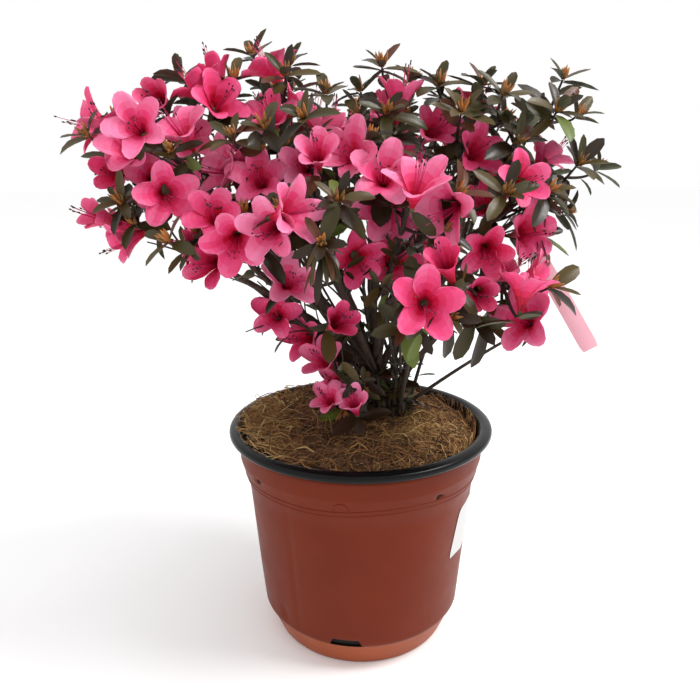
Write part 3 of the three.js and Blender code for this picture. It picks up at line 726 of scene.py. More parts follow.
def gap_to_tag(points):
    """Distance from points to the line that the label hangs along."""
    root = grown_limbs()[TAG.limb].path.at(TAG.along)
    run = np.array(TAG.tip) - root
    share = np.clip((points - root) @ run / (run @ run), 0, 1)
    return np.linalg.norm(points - root - share[:, None] * run, axis=1)


def above_pot(points, margin):
    """Whether points clear the compost and the pot's rim."""
    away = np.hypot(points[:, 0], points[:, 1]) > RIM_RADIUS + margin
    return (points[:, 2] > RIM_TOP + 2 + margin) | away


def trial_places(rng, own, spread, trials=240):
    """Seeded places in the outer part of a spray, and the directions from its middle."""
    middle, reach = SPRAY_MIDDLES[own], SPRAY_REACHES[own]
    out = outward_at(middle)
    tilt = np.arccos(1 - spread * rng.random(trials))[:, None]
    side, _ = polar_frame(np.tile(out, (trials, 1)), FULL_TURN * rng.random(trials))
    direction = out * np.cos(tilt) + side * np.sin(tilt)
    return middle + direction * (reach * mix(0.3, 1.0, rng.random((trials, 1)))), direction


class Heads:
    """Flowers and whorls so far: where each stands, the way it faces, its spray and its kind."""

    def __init__(self):
        self.points, self.facings, self.own, self.flower = [], [], [], []

    def add(self, point, facing, spray, flower):
        """Adds a flower, or else a whorl."""
        self.points.append(point)
        self.facings.append(facing)
        self.own.append(spray)
        self.flower.append(flower)

    def room(self, points):
        """Distance from points to the nearest head."""
        return np.linalg.norm(points[:, None] - np.array(self.points), axis=2).min(axis=1)

    def gathered(self):
        """All heads as arrays."""
        return SimpleNamespace(**{field: np.array(rows) for field, rows in vars(self).items()})


def add_front_flowers(rng, heads):
    """Flowers on the view's rays, eased apart. Returns the rays and the flowers' depths."""
    flowers = np.array(FRONT_FLOWERS + INNER_FLOWERS, float)
    rays, depths, own = front_places(flowers[:, :2], FRONT_FLOWER_SHARE)
    depths[len(FRONT_FLOWERS) :] += INNER_DEPTHS
    depths = ease_apart(rays, depths, FRONT_FLOWER_GAP)
    depths = np.maximum(depths, (FRONT_LIMIT - EYE[1]) / rays[:, 1])
    lean = flowers[:, 2:] + LEAN_UPWARD + rng.normal(0, LEAN_SPREAD, (len(flowers), 2))
    straight = np.sqrt(np.maximum(LEAST_STRAIGHT, 1 - (lean**2).sum(1, keepdims=True)))
    facing = unit(RIGHT * lean[:, :1] + UP * lean[:, 1:] - rays * straight)
    for point, way, spray in zip(EYE + rays * depths[:, None], facing, own):
        heads.add(point, way, spray, True)
    return rays, depths


def add_front_whorls(heads):
    """Whorls on the view's rays, each at the nearest depth that has room round it."""
    rays, depths, own = front_places(np.array(FRONT_WHORLS, float), FRONT_WHORL_SHARE)
    for ray, depth, spray in zip(rays, depths, own):
        options = EYE + ray * (depth + np.arange(-12, 26, 3.0))[:, None]
        gain = np.minimum(heads.room(options), 20) - 0.1 * np.arange(len(options))
        point = options[np.argmax(gain)]
        direction = unit(point - SPRAY_MIDDLES[spray])
        heads.add(point, unit(0.6 * direction + outward_at(point) + (0, -0.2, 0.7)), spray, False)


def clear_of_sight(points, rays, depths, gap):
    """Whether points stand off the view's lines to the front flowers, or behind the flowers."""
    along = (points - EYE) @ rays.T
    squared = ((points - EYE) ** 2).sum(1)[:, None] - along**2
    return ~((along < depths + 4) & (squared < gap**2)).any(axis=1)


def add_by_trials(rng, heads, spray, flower, sights):
    """Adds the best of some seeded trials, the one with the most room, where any has enough."""
    need = FLOWER_ROOM if flower else WHORL_ROOM
    points, direction = trial_places(rng, spray, need.spread)
    facing = unit(0.8 * direction + outward_at(SPRAY_MIDDLES[spray]))
    if not flower:
        facing = unit(facing + (0, 0, 0.7))
    fits = depth_in_cell(points, spray) > need.cell
    fits &= gap_to_limbs(points) > need.limbs
    fits &= gap_to_tag(points) > need.tag
    fits &= above_pot(points, need.pot)
    fits &= clear_of_sight(points, *sights, need.sight)
    score = np.where(fits, np.minimum(heads.room(points), FULL_ROOM), 0)
    best = score.argmax()
    if score[best] > need.shoot:
        heads.add(points[best], facing[best], spray, flower)


def grow_heads(rng):
    """Flowers and whorls: the front ones by their places in the view, and then for each spray
    as many more as its plan asks, each as far from all earlier ones as it can stand."""
    heads = Heads()
    sights = add_front_flowers(rng, heads)
    add_front_whorls(heads)
    for spray, (name, plan) in enumerate(SPRAY_PLAN.items()):
        seen = sum(k == spray for k, f in zip(heads.own, heads.flower) if f)
        flowers = max(round(FLOWER_SHARE * plan.flowers) - seen, 0)
        whorls = round(LEAF_SHARE.get(name, USUAL_LEAF_SHARE) * plan.reach**2 / 100)
        for flower in [True] * flowers + [False] * whorls:
            add_by_trials(rng, heads, spray, flower, sights)
    return heads.gathered()


TWIG_STEPS, STEM_STEPS, BOUGH_PLACES = 9, 8, 14
TWIG_FORKS = slice(3, 8)  # the steps of a twig that later twigs may fork from
BEND_COST = 9  # how far a twig goes round, in millimetres, to save a bend of a right angle


def forked_twig(wood, base, facing):
    """A twig from the wood point that leads to its shoot most directly: the least distance plus
    a cost times one less the cosine of the bend. It ends in the shoot's own direction."""
    points, tangents = wood
    way = base - points
    distance = np.linalg.norm(way, axis=1)
    bend = 1 - (way * tangents).sum(1) / np.maximum(distance, 1e-6)
    foot = points[np.argmin(distance + BEND_COST * bend)]
    length = np.linalg.norm(base - foot)
    return bezier([foot, base - 0.4 * length * facing, base], np.linspace(0, 1, TWIG_STEPS))


def grow_twigs(heads, bases):
    """A twig for each shoot of a spray, nearest shoots first; later twigs may fork from earlier."""
    paths = np.zeros((len(bases), TWIG_STEPS, 3))
    for spray, name in enumerate(SPRAYS):
        limb = grown_limbs()[name]
        shares = np.linspace(0.5, 1, BOUGH_PLACES)
        beyond = np.linspace(0.5, 0.7 * SPRAY_REACHES[spray], STEM_STEPS)[:, None]
        points = np.concatenate([limb.path.at(shares), limb.tip + limb.arrival * beyond])
        onward = np.tile(limb.arrival, (STEM_STEPS, 1))
        tangents = np.concatenate([limb.path.tangent(shares), onward])
        members = np.flatnonzero(heads.own == spray)
        members = members[np.argsort(np.linalg.norm(bases[members] - limb.tip, axis=1))]
        for member in members:
            path = forked_twig((points, tangents), bases[member], heads.facings[member])
            paths[member] = path
            points = np.concatenate([points, path[TWIG_FORKS]])
            along = unit(np.gradient(path, axis=0))
            tangents = np.concatenate([tangents, along[TWIG_FORKS]])
    return paths


class LeafList:
    """Leaves gathered from all over the shrub: where each starts, its axis and its form."""

    FIELDS = ("foot", "axis", "azimuth", "length", "lift", "droop", "tone", "breadth")

    def __init__(self):
        self.rows = {field: [] for field in self.FIELDS}

    def add(self, **values):
        """Adds leaves; single values count for all of them, and a breadth left out is 1."""
        count = len(values["foot"])
        for field in self.FIELDS:
            value = np.asarray(values.get(field, 1.0), float)
            shape = (count, 3) if field in ("foot", "axis") else (count,)
            self.rows[field].append(np.broadcast_to(value, shape))

    def gathered(self):
        """All leaves as one set of arrays."""
        return SimpleNamespace(**{field: np.concatenate(rows) for field, rows in self.rows.items()})


def leaf_tones(rng, count, young=0.04):
    """Mostly dark and green leaves, with some olive, bronze and young ones."""
    tones = [DARK, GREEN, OLIVE, BRONZE, YOUNG]
    return rng.choice(tones, count, p=[0.36, 0.33, 0.17, 0.14 - young, young])


RIGHT_SIDE = 50.0  # beyond this x the whorls' leaves are longer
LONGER = 1.12


def whorl_leaves(rng, leaves, points, facings, size):
    """Each whorl has leaves at the golden angle round its bud: low and long ones outside,
    steeper and shorter ones inside."""
    for point, facing in zip(points, facings):
        count = rng.integers(5, 9)
        share = np.arange(count) / count
        longest = LONGER if point[0] > RIGHT_SIDE else 1
        leaves.add(
            foot=point + facing * (4.0 * share[:, None] - 3.5),
            axis=facing,
            azimuth=FULL_TURN * rng.random() + GOLDEN_ANGLE * np.arange(count),
            length=size * mix(1.08, 0.62, share) * rng.uniform(0.8, 1.14, count) * longest,
            lift=mix(0.12, 1.0, share) + rng.normal(0, 0.14, count),
            droop=rng.uniform(0.1, 0.75, count),
            tone=leaf_tones(rng, count),
            breadth=rng.uniform(0.85, 1.15, count),
        )


def collar_leaves(rng, leaves, bases, facings, leaf):
    """A loose collar of up to two leaves under each flower."""
    for base, facing in zip(bases, facings):
        number = rng.integers(0, 3)
        leaves.add(
            foot=base - facing * rng.uniform(2, 9, (number, 1)),
            axis=facing,
            azimuth=FULL_TURN * rng.random() + GOLDEN_ANGLE * np.arange(number),
            length=leaf * rng.uniform(0.75, 1.08, number),
            lift=rng.uniform(-0.1, 0.55, number),
            droop=rng.uniform(0.0, 0.7, number),
            tone=leaf_tones(rng, number),
            breadth=rng.uniform(0.9, 1.55, number),
        )


def twig_leaves(rng, leaves, twigs, leaf):
    """Single leaves along the longer twigs: one for each 13 millimetres, three at most."""
    for path in twigs:
        length = np.linalg.norm(np.diff(path, axis=0), axis=1).sum()
        number = min(int(length / 13), 3)
        if number < 1:
            continue
        at = rng.integers(3, TWIG_STEPS - 1, number)
        leaves.add(
            foot=path[at],
            axis=unit(path[at] - path[at - 1]),
            azimuth=FULL_TURN * rng.random(number),
            length=leaf * rng.uniform(0.6, 1.0, number),
            lift=rng.uniform(0.3, 0.9, number),
            droop=rng.uniform(0.1, 0.7, number),
            tone=leaf_tones(rng, number),
            breadth=rng.uniform(0.9, 1.5, number),
        )


SMALL_SPRAY, SMALL_FLOWER = "base", 0.78
HALF_OPEN_SHARE = 0.16


@functools.cache
def shrub():
    """Grows the whole shrub once, for every operator to draw from. A flower that is less open is
    deeper and narrower."""
    rng = np.random.default_rng(20260)
    size = bpy.context.scene.azalea_sizes
    leaf = size.leaf_length / MM
    heads = grow_heads(rng)
    is_flower = heads.flower
    count = len(is_flower)
    small = heads.own == SPRAYS.index(SMALL_SPRAY)
    scale = rng.uniform(0.92, 1.06, count) * np.where(small, SMALL_FLOWER, 1.0)
    half_open = rng.random(count) < HALF_OPEN_SHARE
    openness = np.where(half_open, rng.uniform(0.15, 0.6, count), rng.uniform(0.78, 1.05, count))
    depth = size.flower_depth / MM * scale * mix(1.35, 1.0, np.minimum(openness, 1))
    reach = size.flower_radius / MM * scale * mix(0.42, 1.0, openness)
    bases = heads.points - heads.facings * np.where(is_flower, depth, 2.0)[:, None]
    twigs = grow_twigs(heads, bases)
    leaves = LeafList()
    whorl_leaves(rng, leaves, heads.points[~is_flower], heads.facings[~is_flower], leaf)
    collar_leaves(rng, leaves, bases[is_flower], heads.facings[is_flower], leaf)
    twig_leaves(rng, leaves, twigs, leaf)
    hang_leaves(rng, leaves, heads.points[DROOPING_WHORL], leaf)
    sprigs = grow_sprigs(rng, leaves, leaf)
    suckers = grow_suckers(rng, leaves, leaf, bases)
    return SimpleNamespace(
        heads=heads, bases=bases, twigs=twigs, scale=scale, openness=openness, depth=depth, reach=reach,
        leaves=leaves.gathered(), sprigs=sprigs, suckers=suckers,
    )


HANGING_LEAVES = 18


def hang_leaves(rng, leaves, point, leaf):
    """An old whorl whose narrow leaves all hang down, some of them dry."""
    count = HANGING_LEAVES
    leaves.add(
        foot=point + Z * rng.uniform(-7, 3, (count, 1)), axis=Z,
        azimuth=GOLDEN_ANGLE * np.arange(count), length=leaf * rng.uniform(0.7, 1.15, count),
        lift=rng.uniform(-0.9, 0.1, count), droop=rng.uniform(0.3, 0.9, count),
        tone=rng.choice([DARK, GREEN, OLIVE, BRONZE, DRY], count, p=[0.2, 0.3, 0.2, 0.1, 0.2]),
        breadth=rng.uniform(0.55, 0.9, count),
    )


SPRIGS = 9  # tried on each bough
LEAFY_SPRIGS = 0.45
SPRIG_STEPS = 7


def grow_sprigs(rng, leaves, leaf):
    """Bare or small-leaved side twigs inside the crown, from the outer part of each bough."""
    paths = []
    for name in SPRAYS:
        limb = grown_limbs()[name]
        share = rng.uniform(0.4, 0.98, SPRIGS)
        foot, along = limb.path.at(share), limb.path.tangent(share)
        side, _ = polar_frame(along, FULL_TURN * rng.random(SPRIGS))
        way = unit(along + side * rng.uniform(0.5, 1.3, (SPRIGS, 1)) + (0, 0, 0.35))
        reach = rng.uniform(14, 42, (SPRIGS, 1))
        tip = foot + way * reach
        keep = above_pot(tip, 6) & (gap_to_tag(tip) > 10) & (gap_to_limbs(tip) > 2)
        foot, along, way, reach, tip = (rows[keep] for rows in (foot, along, way, reach, tip))
        elbow = foot + unit(along + way) * reach * 0.5
        paths.append(bezier([foot, elbow, tip], np.linspace(0, 1, SPRIG_STEPS)))
        leafy = rng.random(len(foot)) < LEAFY_SPRIGS
        for end, axis in zip(tip[leafy], way[leafy]):
            number = rng.integers(2, 5)
            leaves.add(
                foot=end - axis * rng.uniform(0, 5, (number, 1)), axis=axis,
                azimuth=FULL_TURN * rng.random() + GOLDEN_ANGLE * np.arange(number),
                length=leaf * rng.uniform(0.45, 0.85, number), lift=rng.uniform(0.3, 1.0, number),
                droop=rng.uniform(0, 0.6, number), tone=leaf_tones(rng, number),
            )
    return np.concatenate(paths)


SUCKER_STEPS = 14
LEAFY_SUCKERS = 0.8


def grow_suckers(rng, leaves, leaf, bases):
    """Thin stems that rise from the compost round the trunk and lean into the boughs, one for
    each spray, with a few small leaves low down, then the bare stems in sight and the tufts."""
    count = len(SPRAYS)
    limbs = [grown_limbs()[name] for name in SPRAYS]
    turn = FULL_TURN * rng.random(count)
    away = np.stack([np.cos(turn), np.sin(turn), 0 * turn], -1)
    foot = TRUNK_FOOT + away * rng.uniform(7, 16, (count, 1))
    foot[:, 2] = compost_height(foot[:, 0], foot[:, 1]) - 1
    met = rng.uniform(0.4, 0.9, count)
    end = np.array([limb.path.at(share) for limb, share in zip(limbs, met)])
    height = (end[:, 2:] - foot[:, 2:]) * Z
    lean = away * rng.uniform(0, 9, (count, 1))
    middle = mix(foot, end, 0.45) + 0.14 * height + rng.normal(0, 8, (count, 3))
    steps = np.linspace(0, 1, SUCKER_STEPS)
    paths = bezier([foot, foot + 0.3 * height + lean, middle, end], steps)
    for path in paths[rng.random(count) < LEAFY_SUCKERS]:
        number = rng.integers(3, 6)
        at = rng.integers(1, 9, number)
        leaves.add(
            foot=path[at], axis=unit(path[at] - path[at - 1]), azimuth=FULL_TURN * rng.random(number),
            length=leaf * rng.uniform(0.35, 0.75, number), lift=rng.uniform(0.4, 1.1, number),
            droop=rng.uniform(0.1, 0.6, number), tone=leaf_tones(rng, number, 0.12),
        )
    stems = []
    for (x, y), flower in SEEN_STEMS:
        foot, end = TRUNK_FOOT + (x, y, -1), bases[flower]
        run = end - foot
        stems.append(bezier([foot, foot + run / 3 + 3 * Z, foot + run / 1.5 + 4 * Z, end], steps))
    return np.concatenate([paths, np.array(stems), grow_tufts(rng, leaves, leaf, steps)])


TUFT_LEAF, LOW_TUFT_LEAF = 0.62, 0.45  # the leaves' share of a full-grown one


def grow_tufts(rng, leaves, leaf, steps):
    """Short shoots beside the trunk's foot, with a whorl at the tip and a smaller one below."""
    upward = unit(unit(TUFTS - TRUNK_FOOT) + 0.6 * Z)
    ground = mix(TRUNK_FOOT, TUFTS, 0.6)
    ground[:, 2] = TRUNK_FOOT[2] - 2
    whorl_leaves(rng, leaves, TUFTS, upward, TUFT_LEAF * leaf)
    whorl_leaves(rng, leaves, mix(ground, TUFTS, 0.6), upward, LOW_TUFT_LEAF * leaf)
    return bezier([ground, mix(ground, TUFTS, 0.5) - upward, TUFTS], steps)


# ---- Blossom ----

PETALS = 5
PETAL_ACROSS = np.array([-1, -0.8, -0.42, 0, 0.42, 0.8, 1])
PETAL_ALONG = np.array([0, 0.16, 0.33, 0.5, 0.66, 0.8, 0.92, 1])
PETAL_THICKNESS = 0.42
THROAT_RADIUS = 1.2
NEIGHBOUR_LAP = 0.79  # a petal's half angle at the foot of the funnel
TIP_START = 0.76  # the share of a petal past which it narrows
BLOTCH = np.array([3.0, 1.1, 0, 0, 1.1])  # how much darker each petal's blotch is, in tones

STAMENS = 7
THREAD_RADII = np.linspace(0.27, 0.2, 7)
ANTHER_RADII = (0.25, 0.5, 0.48, 0.2)
CALYX_RADII = (0.8, 1.2, 1.6, 1.5, 1.0)
CALYX_HEIGHTS = np.array([-3.6, -2.4, -1.2, -0.2, 0.6])


def flower_axes(facing, turn):
    """Each flower's own axes: its first petal points up the flower's face, turned a little."""
    upward = unit(Z - facing * facing[:, 2:] + 1e-3)
    side = np.cross(facing, upward)
    turn = turn[:, None]
    first = upward * np.cos(turn) + side * np.sin(turn)
    return np.stack([first, np.cross(facing, first), facing], axis=1)


def petal_shells(rng, radius, depth, half_width, bend):
    """Five petals a flower, as closed sheets. Along a petal the distance from the flower's axis
    grows by the power 1.6 and the height by one less a power 1.4, so they share a funnel and
    open outwards. A petal is a little wider than its share of the funnel, up to its own width,
    blunt at the tip, ruffled at its edges and grooved in its middle, and laps over the next."""
    u = PETAL_ACROSS[None, :]
    v = PETAL_ALONG[:, None]
    s = v * (1 - 0.26 * (1 - np.sqrt(1 - u**2)))
    shape = (len(radius), PETALS, 1, 1)

    def spread(values):
        return np.broadcast_to(np.asarray(values).reshape(len(radius), -1, 1, 1), shape)

    wave = rng.uniform(0, FULL_TURN, (len(radius), PETALS))
    vary = rng.uniform(0.93, 1.06, (len(radius), PETALS))
    reach = spread(radius) * spread(vary)
    out = THROAT_RADIUS + (reach - THROAT_RADIUS) * s**1.6
    height = spread(depth) * (1 - (1 - s) ** 1.4) + spread(bend) * s**3
    narrowed = np.clip((v - TIP_START) / (1 - TIP_START), 0, 1)
    widest = spread(half_width) * (1 - 0.24 * narrowed**2)
    half = 1 / (1 / (NEIGHBOUR_LAP * out) ** 6 + 1 / widest**6) ** (1 / 6)
    turn = (np.arange(PETALS) * FULL_TURN / PETALS)[None, :, None, None]
    turn = turn + spread(rng.normal(0, 0.07, (len(radius), PETALS)))
    angle = turn + u * half / out
    ruffle = 1.7 * s**2 * np.abs(u) ** 1.5 * np.sin(7.5 * v + 2.1 * u + spread(wave))
    groove = -1.0 * bell(u, 0.3) * np.sin(np.pi * s)
    height = height + ruffle + groove + 0.8 * s * u + 1.6 * s**2 * u**2
    front = np.stack([out * np.cos(angle), out * np.sin(angle), height], -1)
    rise = np.gradient(height, axis=2)
    run = np.gradient(out, axis=2)
    steep = np.hypot(rise, run) + 1e-6
    behind = np.stack([rise * np.cos(angle), rise * np.sin(angle), -run], -1) / steep[..., None]
    return front, behind * PETAL_THICKNESS, s


def place(points, feet, axes):
    """Moves shells from their own axes to their places: the foot plus the parts along each axis."""
    flat = points.reshape(len(feet), -1, 3)
    return (np.einsum("nvk,nkj->nvj", flat, axes) + feet[:, None]).reshape(points.shape)


def petal_slots(rng, s, offset):
    """The tones of a petal's faces: dark in the throat, then slowly paler to the tip, with
    streaks along the petal, and paler edges that are a painted highlight. The upper petal has a
    darker blotch, a bell curve across and along it, and its neighbours a fainter one. The offsets are
    (flowers, petals)."""
    s = (s[:-1, :-1] + s[1:, :-1] + s[1:, 1:] + s[:-1, 1:]) / 4
    u = (PETAL_ACROSS[:-1] + PETAL_ACROSS[1:]) / 2
    # The last term pales the edges: a painted highlight along the petals' rims.
    tone = 9.2 + 4.4 * s - 9.5 * bell(s, 0.38) + 1.8 * np.abs(u) ** 3
    blotch = bell(u, 0.45) * bell(s - 0.45, 0.24)
    front = tone[None] - BLOTCH[:, None, None] * blotch
    back = np.broadcast_to(tone - 0.6, front.shape)
    both = np.stack([front, back], axis=1)[None]
    streaks = rng.normal(0, 0.55, (len(offset), PETALS, 2, 1, s.shape[1]))
    flecks = rng.normal(0, 0.1, (len(offset), *both.shape[1:]))
    tones = both + streaks + flecks + offset[..., None, None, None]
    return np.clip(tones, 0, PETAL_TONES - 1).astype(int).reshape(len(offset) * PETALS, -1)


class AZALEA_OT_blossom(bpy.types.Operator):
    """Petals, stamens and calyxes of every flower."""

    bl_idname = "azalea.blossom"
    bl_label = "Blossom"

    def execute(self, context):
        plant, size = shrub(), context.scene.azalea_sizes
        rng = np.random.default_rng(411)
        chosen = plant.heads.flower
        flowers = SimpleNamespace(
            foot=plant.bases[chosen], facing=plant.heads.facings[chosen], own=plant.heads.own[chosen],
            scale=plant.scale[chosen], openness=plant.openness[chosen], depth=plant.depth[chosen],
            radius=plant.reach[chosen],
        )
        flowers.axes = flower_axes(flowers.facing, rng.uniform(-0.45, 0.45, len(flowers.foot)))
        self.add_petals(rng, flowers, size.petal_half_width / MM)
        self.add_stamens(rng, flowers)
        self.add_calyxes(flowers)
        return {"FINISHED"}

    @staticmethod
    def add_petals(rng, flowers, half_width):
        """Petals of every flower. Each spray, flower and petal has its own shift of tone."""
        count, openness = len(flowers.foot), flowers.openness
        vary = rng.uniform(0.92, 1.08, count)
        width = half_width * flowers.scale * vary * mix(0.8, 1, openness)
        bend = np.where(openness > 0.7, rng.uniform(-4.5, 1.0, count), 1.5)[:, None]
        bend = bend + rng.uniform(-3.0, 3.5, (count, PETALS))
        front, behind, s = petal_shells(rng, flowers.radius, flowers.depth, width, bend)
        flat = (count * PETALS, len(PETAL_ALONG), len(PETAL_ACROSS), 3)
        shells = sheet_points(front.reshape(flat), behind.reshape(flat))
        shells = place(shells, flowers.foot, flowers.axes).reshape(count * PETALS, -1, 3)
        faces, rim = sheet_faces(len(PETAL_ALONG), len(PETAL_ACROSS))
        spray_tone = rng.uniform(-1.8, 1.8, len(SPRAYS))[flowers.own]
        flower_tone = spray_tone + rng.uniform(-1.0, 1.0, count)
        offset = flower_tone[:, None] + rng.uniform(-0.6, 0.6, (count, PETALS))
        petals = Batch()
        petals.add(shells, (faces,), (petal_slots(rng, s, offset),), rim)
        petals.build("petals", petal_finishes(), [f"spray_{name}" for name in SPRAYS])

    @staticmethod
    def add_stamens(rng, flowers):
        """Curved threads in each flower, that lean to its lower side and turn up at their tips,
        the longest one the pistil, and an anther on each."""
        shape = (len(flowers.foot), STAMENS)
        azimuth = np.pi + rng.uniform(-1.0, 1.0, shape)
        lean = rng.uniform(2.0, 7.5, shape) * np.minimum(1, flowers.radius / 20)[:, None]
        top = flowers.depth[:, None] + rng.uniform(3.0, 11.0, shape) * flowers.scale[:, None]
        top[:, 0] += 3.5
        x, y = np.cos(azimuth), np.sin(azimuth)
        bottom = np.stack([0.5 * x, 0.5 * y, 0 * azimuth + 2.0], -1)
        middle = np.stack([lean * x * 0.7, lean * y * 0.7, top * 0.72], -1)
        end = np.stack([lean * x, lean * y, top], -1)
        end[..., 0] += 1.6
        corners = [rows.reshape(-1, 3) for rows in (bottom, middle, end)]
        paths = bezier(corners, np.linspace(0, 1, len(THREAD_RADII)))
        repeated = np.repeat(np.arange(shape[0]), STAMENS)
        paths = place(paths, flowers.foot[repeated], flowers.axes[repeated])
        threads = Batch()
        points, faces = tubes(paths, THREAD_RADII, 3)
        threads.add(points, faces, 0)
        way = unit(paths[:, -1] - paths[:, -2])
        along = np.linspace(-0.3, 1.6, len(ANTHER_RADII))[:, None]
        points, faces = tubes(paths[:, -1:] + way[:, None] * along, ANTHER_RADII, 4)
        threads.add(points, faces, 1)
        finishes = [
            plain_finish("filament", colour(FILAMENT), 0.5, 1.5, 0.1),
            plain_finish("anther", colour(ANTHER), 0.7, 0.8, 0.2),
        ]
        threads.build("stamens", finishes)

    @staticmethod
    def add_calyxes(flowers):
        """A small green cup under each flower, as a tube that swells and ends round the petals."""
        heights = CALYX_HEIGHTS[:, None] * flowers.scale[:, None, None]
        paths = flowers.foot[:, None] + flowers.axes[:, None, 2] * heights
        points, faces = tubes(paths, CALYX_RADII, 6)
        cups = Batch()
        cups.add(points, faces, 0)
        cups.build("calyxes", [plain_finish("calyx", colour(CALYX), 0.6, 1.2, 0.2)])


# ---- Leaves, buds and wood ----

LEAF_ACROSS = np.array([-1, -0.5, 0, 0.5, 1])
LEAF_ALONG = np.array([0, 0.12, 0.35, 0.62, 0.85, 1])
LEAF_WIDTHS = np.array([0.08, 0.58, 0.92, 1.0, 0.74, 0.1])
LEAF_THICKNESS = 0.36
WIDTH_LENGTH = 21.0  # the length of a leaf that has the full half width
LEAF_FOLD = 0.28
FUNNEL_POWER = 0.32  # of a flower's height over its radius


def leaf_shells(leaves, half_width):
    """Leaves as closed sheets. A leaf sets out at its lift and turns down evenly by its droop, so
    its midrib is an arc of a circle. It is widest past its middle, and folded up a little along
    the midrib."""
    v, u = LEAF_ALONG[None, :, None], LEAF_ACROSS[None, None, :]
    bent = np.maximum(leaves.droop, 0.02)
    length, lift, droop = (values[:, None, None] for values in (leaves.length, leaves.lift, bent))
    heading = lift - droop * v
    out = length * (np.sin(lift) - np.sin(heading)) / droop + 0.8
    up = length * (np.cos(heading) - np.cos(lift)) / droop
    widest = half_width * length * leaves.breadth[:, None, None] / WIDTH_LENGTH
    width = widest * LEAF_WIDTHS[None, :, None]
    fold = LEAF_FOLD * width * np.abs(u)
    across = width * u
    sine, cosine = np.sin(heading), np.cos(heading)
    front = np.stack([out - sine * fold, across, up + cosine * fold], -1)
    behind = np.stack(np.broadcast_arrays(sine, 0 * across, -cosine), -1) * LEAF_THICKNESS
    first, second = polar_frame(leaves.axis, leaves.azimuth)
    axes = np.stack([first, second, leaves.axis], axis=1)
    return place(sheet_points(front, behind), leaves.foot, axes)


def through_flower(shells):
    """Which leaves run through a flower. A point lies past a flower's funnel where its height
    along the axis is over the flower's depth times a small power of its distance from the axis;
    a leaf with points within the flower's reach on both sides runs through it."""
    plant = shrub()
    chosen = plant.heads.flower
    middle = len(LEAF_ACROSS) // 2
    midribs = shells[:, middle : len(LEAF_ALONG) * len(LEAF_ACROSS) : len(LEAF_ACROSS)]
    crossing = np.zeros(len(shells), bool)
    for foot, facing, depth, reach in zip(
        plant.bases[chosen], plant.heads.facings[chosen], plant.depth[chosen], plant.reach[chosen]
    ):
        way = midribs - foot
        rise = way @ facing
        away = np.linalg.norm(way - rise[..., None] * facing, axis=2)
        past = rise - depth * np.minimum(away / reach, 1) ** FUNNEL_POWER
        near = (away < reach) & (np.abs(rise) < 2 * depth)
        crossing |= (near & (past > 0)).any(axis=1) & (near & (past < 0)).any(axis=1)
    return crossing


class AZALEA_OT_leaves(bpy.types.Operator):
    """Leaves of whorls, flowers and twigs, in two pieces."""

    bl_idname = "azalea.leaves"
    bl_label = "Leaves"

    def execute(self, context):
        leaves = shrub().leaves
        half_width = context.scene.azalea_sizes.leaf_half_width / MM
        shells = leaf_shells(leaves, half_width)
        keep = above_pot(leaves.foot, 2) & ~through_flower(shells)
        faces, rim = sheet_faces(len(LEAF_ALONG), len(LEAF_ACROSS))
        half = len(faces) // 2
        back = np.where(leaves.tone == DRY, DRY, UNDERSIDE)
        slots = np.concatenate([np.tile(leaves.tone[:, None], half), np.tile(back[:, None], half)], axis=1)
        finishes = leaf_finishes()
        parts = {"leaves_left": leaves.foot[:, 0] < 0, "leaves_right": leaves.foot[:, 0] >= 0}
        for name, part in parts.items():
            piece = Batch()
            piece.add(shells[part & keep], (faces,), (slots[part & keep],), rim)
            piece.build(name, finishes)
        return {"FINISHED"}


BUD_SCALES = 8
BUD_RADII = (0.7, 1.15, 1.1, 0.7, 0.12)


class AZALEA_OT_buds(bpy.types.Operator):
    """A cluster of pointed brown scales in the heart of each whorl."""

    bl_idname = "azalea.buds"
    bl_label = "Buds"

    def execute(self, context):
        plant = shrub()
        rng = np.random.default_rng(77)
        whorl = ~plant.heads.flower
        feet = np.repeat(plant.heads.points[whorl], BUD_SCALES, axis=0)
        axis = np.repeat(plant.heads.facings[whorl], BUD_SCALES, axis=0)
        count = len(feet)
        share = np.tile(np.arange(BUD_SCALES) / BUD_SCALES, count // BUD_SCALES)
        side, _ = polar_frame(axis, FULL_TURN * (share + rng.random(count) * 0.1))
        reach = rng.uniform(5.0, 10.0, (count, 1))
        way = unit(axis + side * rng.uniform(0.15, 0.85, (count, 1)))
        start = feet + side * 0.5 - axis * 1.5
        end = start + way * reach * 0.75 + axis * reach * 0.3
        paths = bezier([start, start + way * reach * 0.6, end], np.linspace(0, 1, len(BUD_RADII)))
        points, faces = tubes(paths, BUD_RADII, 4)
        tone = rng.integers(0, len(BUDS), count)[:, None]
        scales = Batch()
        scales.add(points, faces, one_tone_each(tone, faces))
        finishes = [
            plain_finish(f"bud_{name}", colour(text), 0.6, 1.0, 0.2) for name, text in BUDS.items()
        ]
        scales.build("buds", finishes)
        return {"FINISHED"}


BARK_SIDES, BARK_STEPS = 10, 26
STEM_SIDES = 8
TRUNK_SIDES, TRUNK_STEPS = 40, 30
KNUCKLES = 5  # on each bough


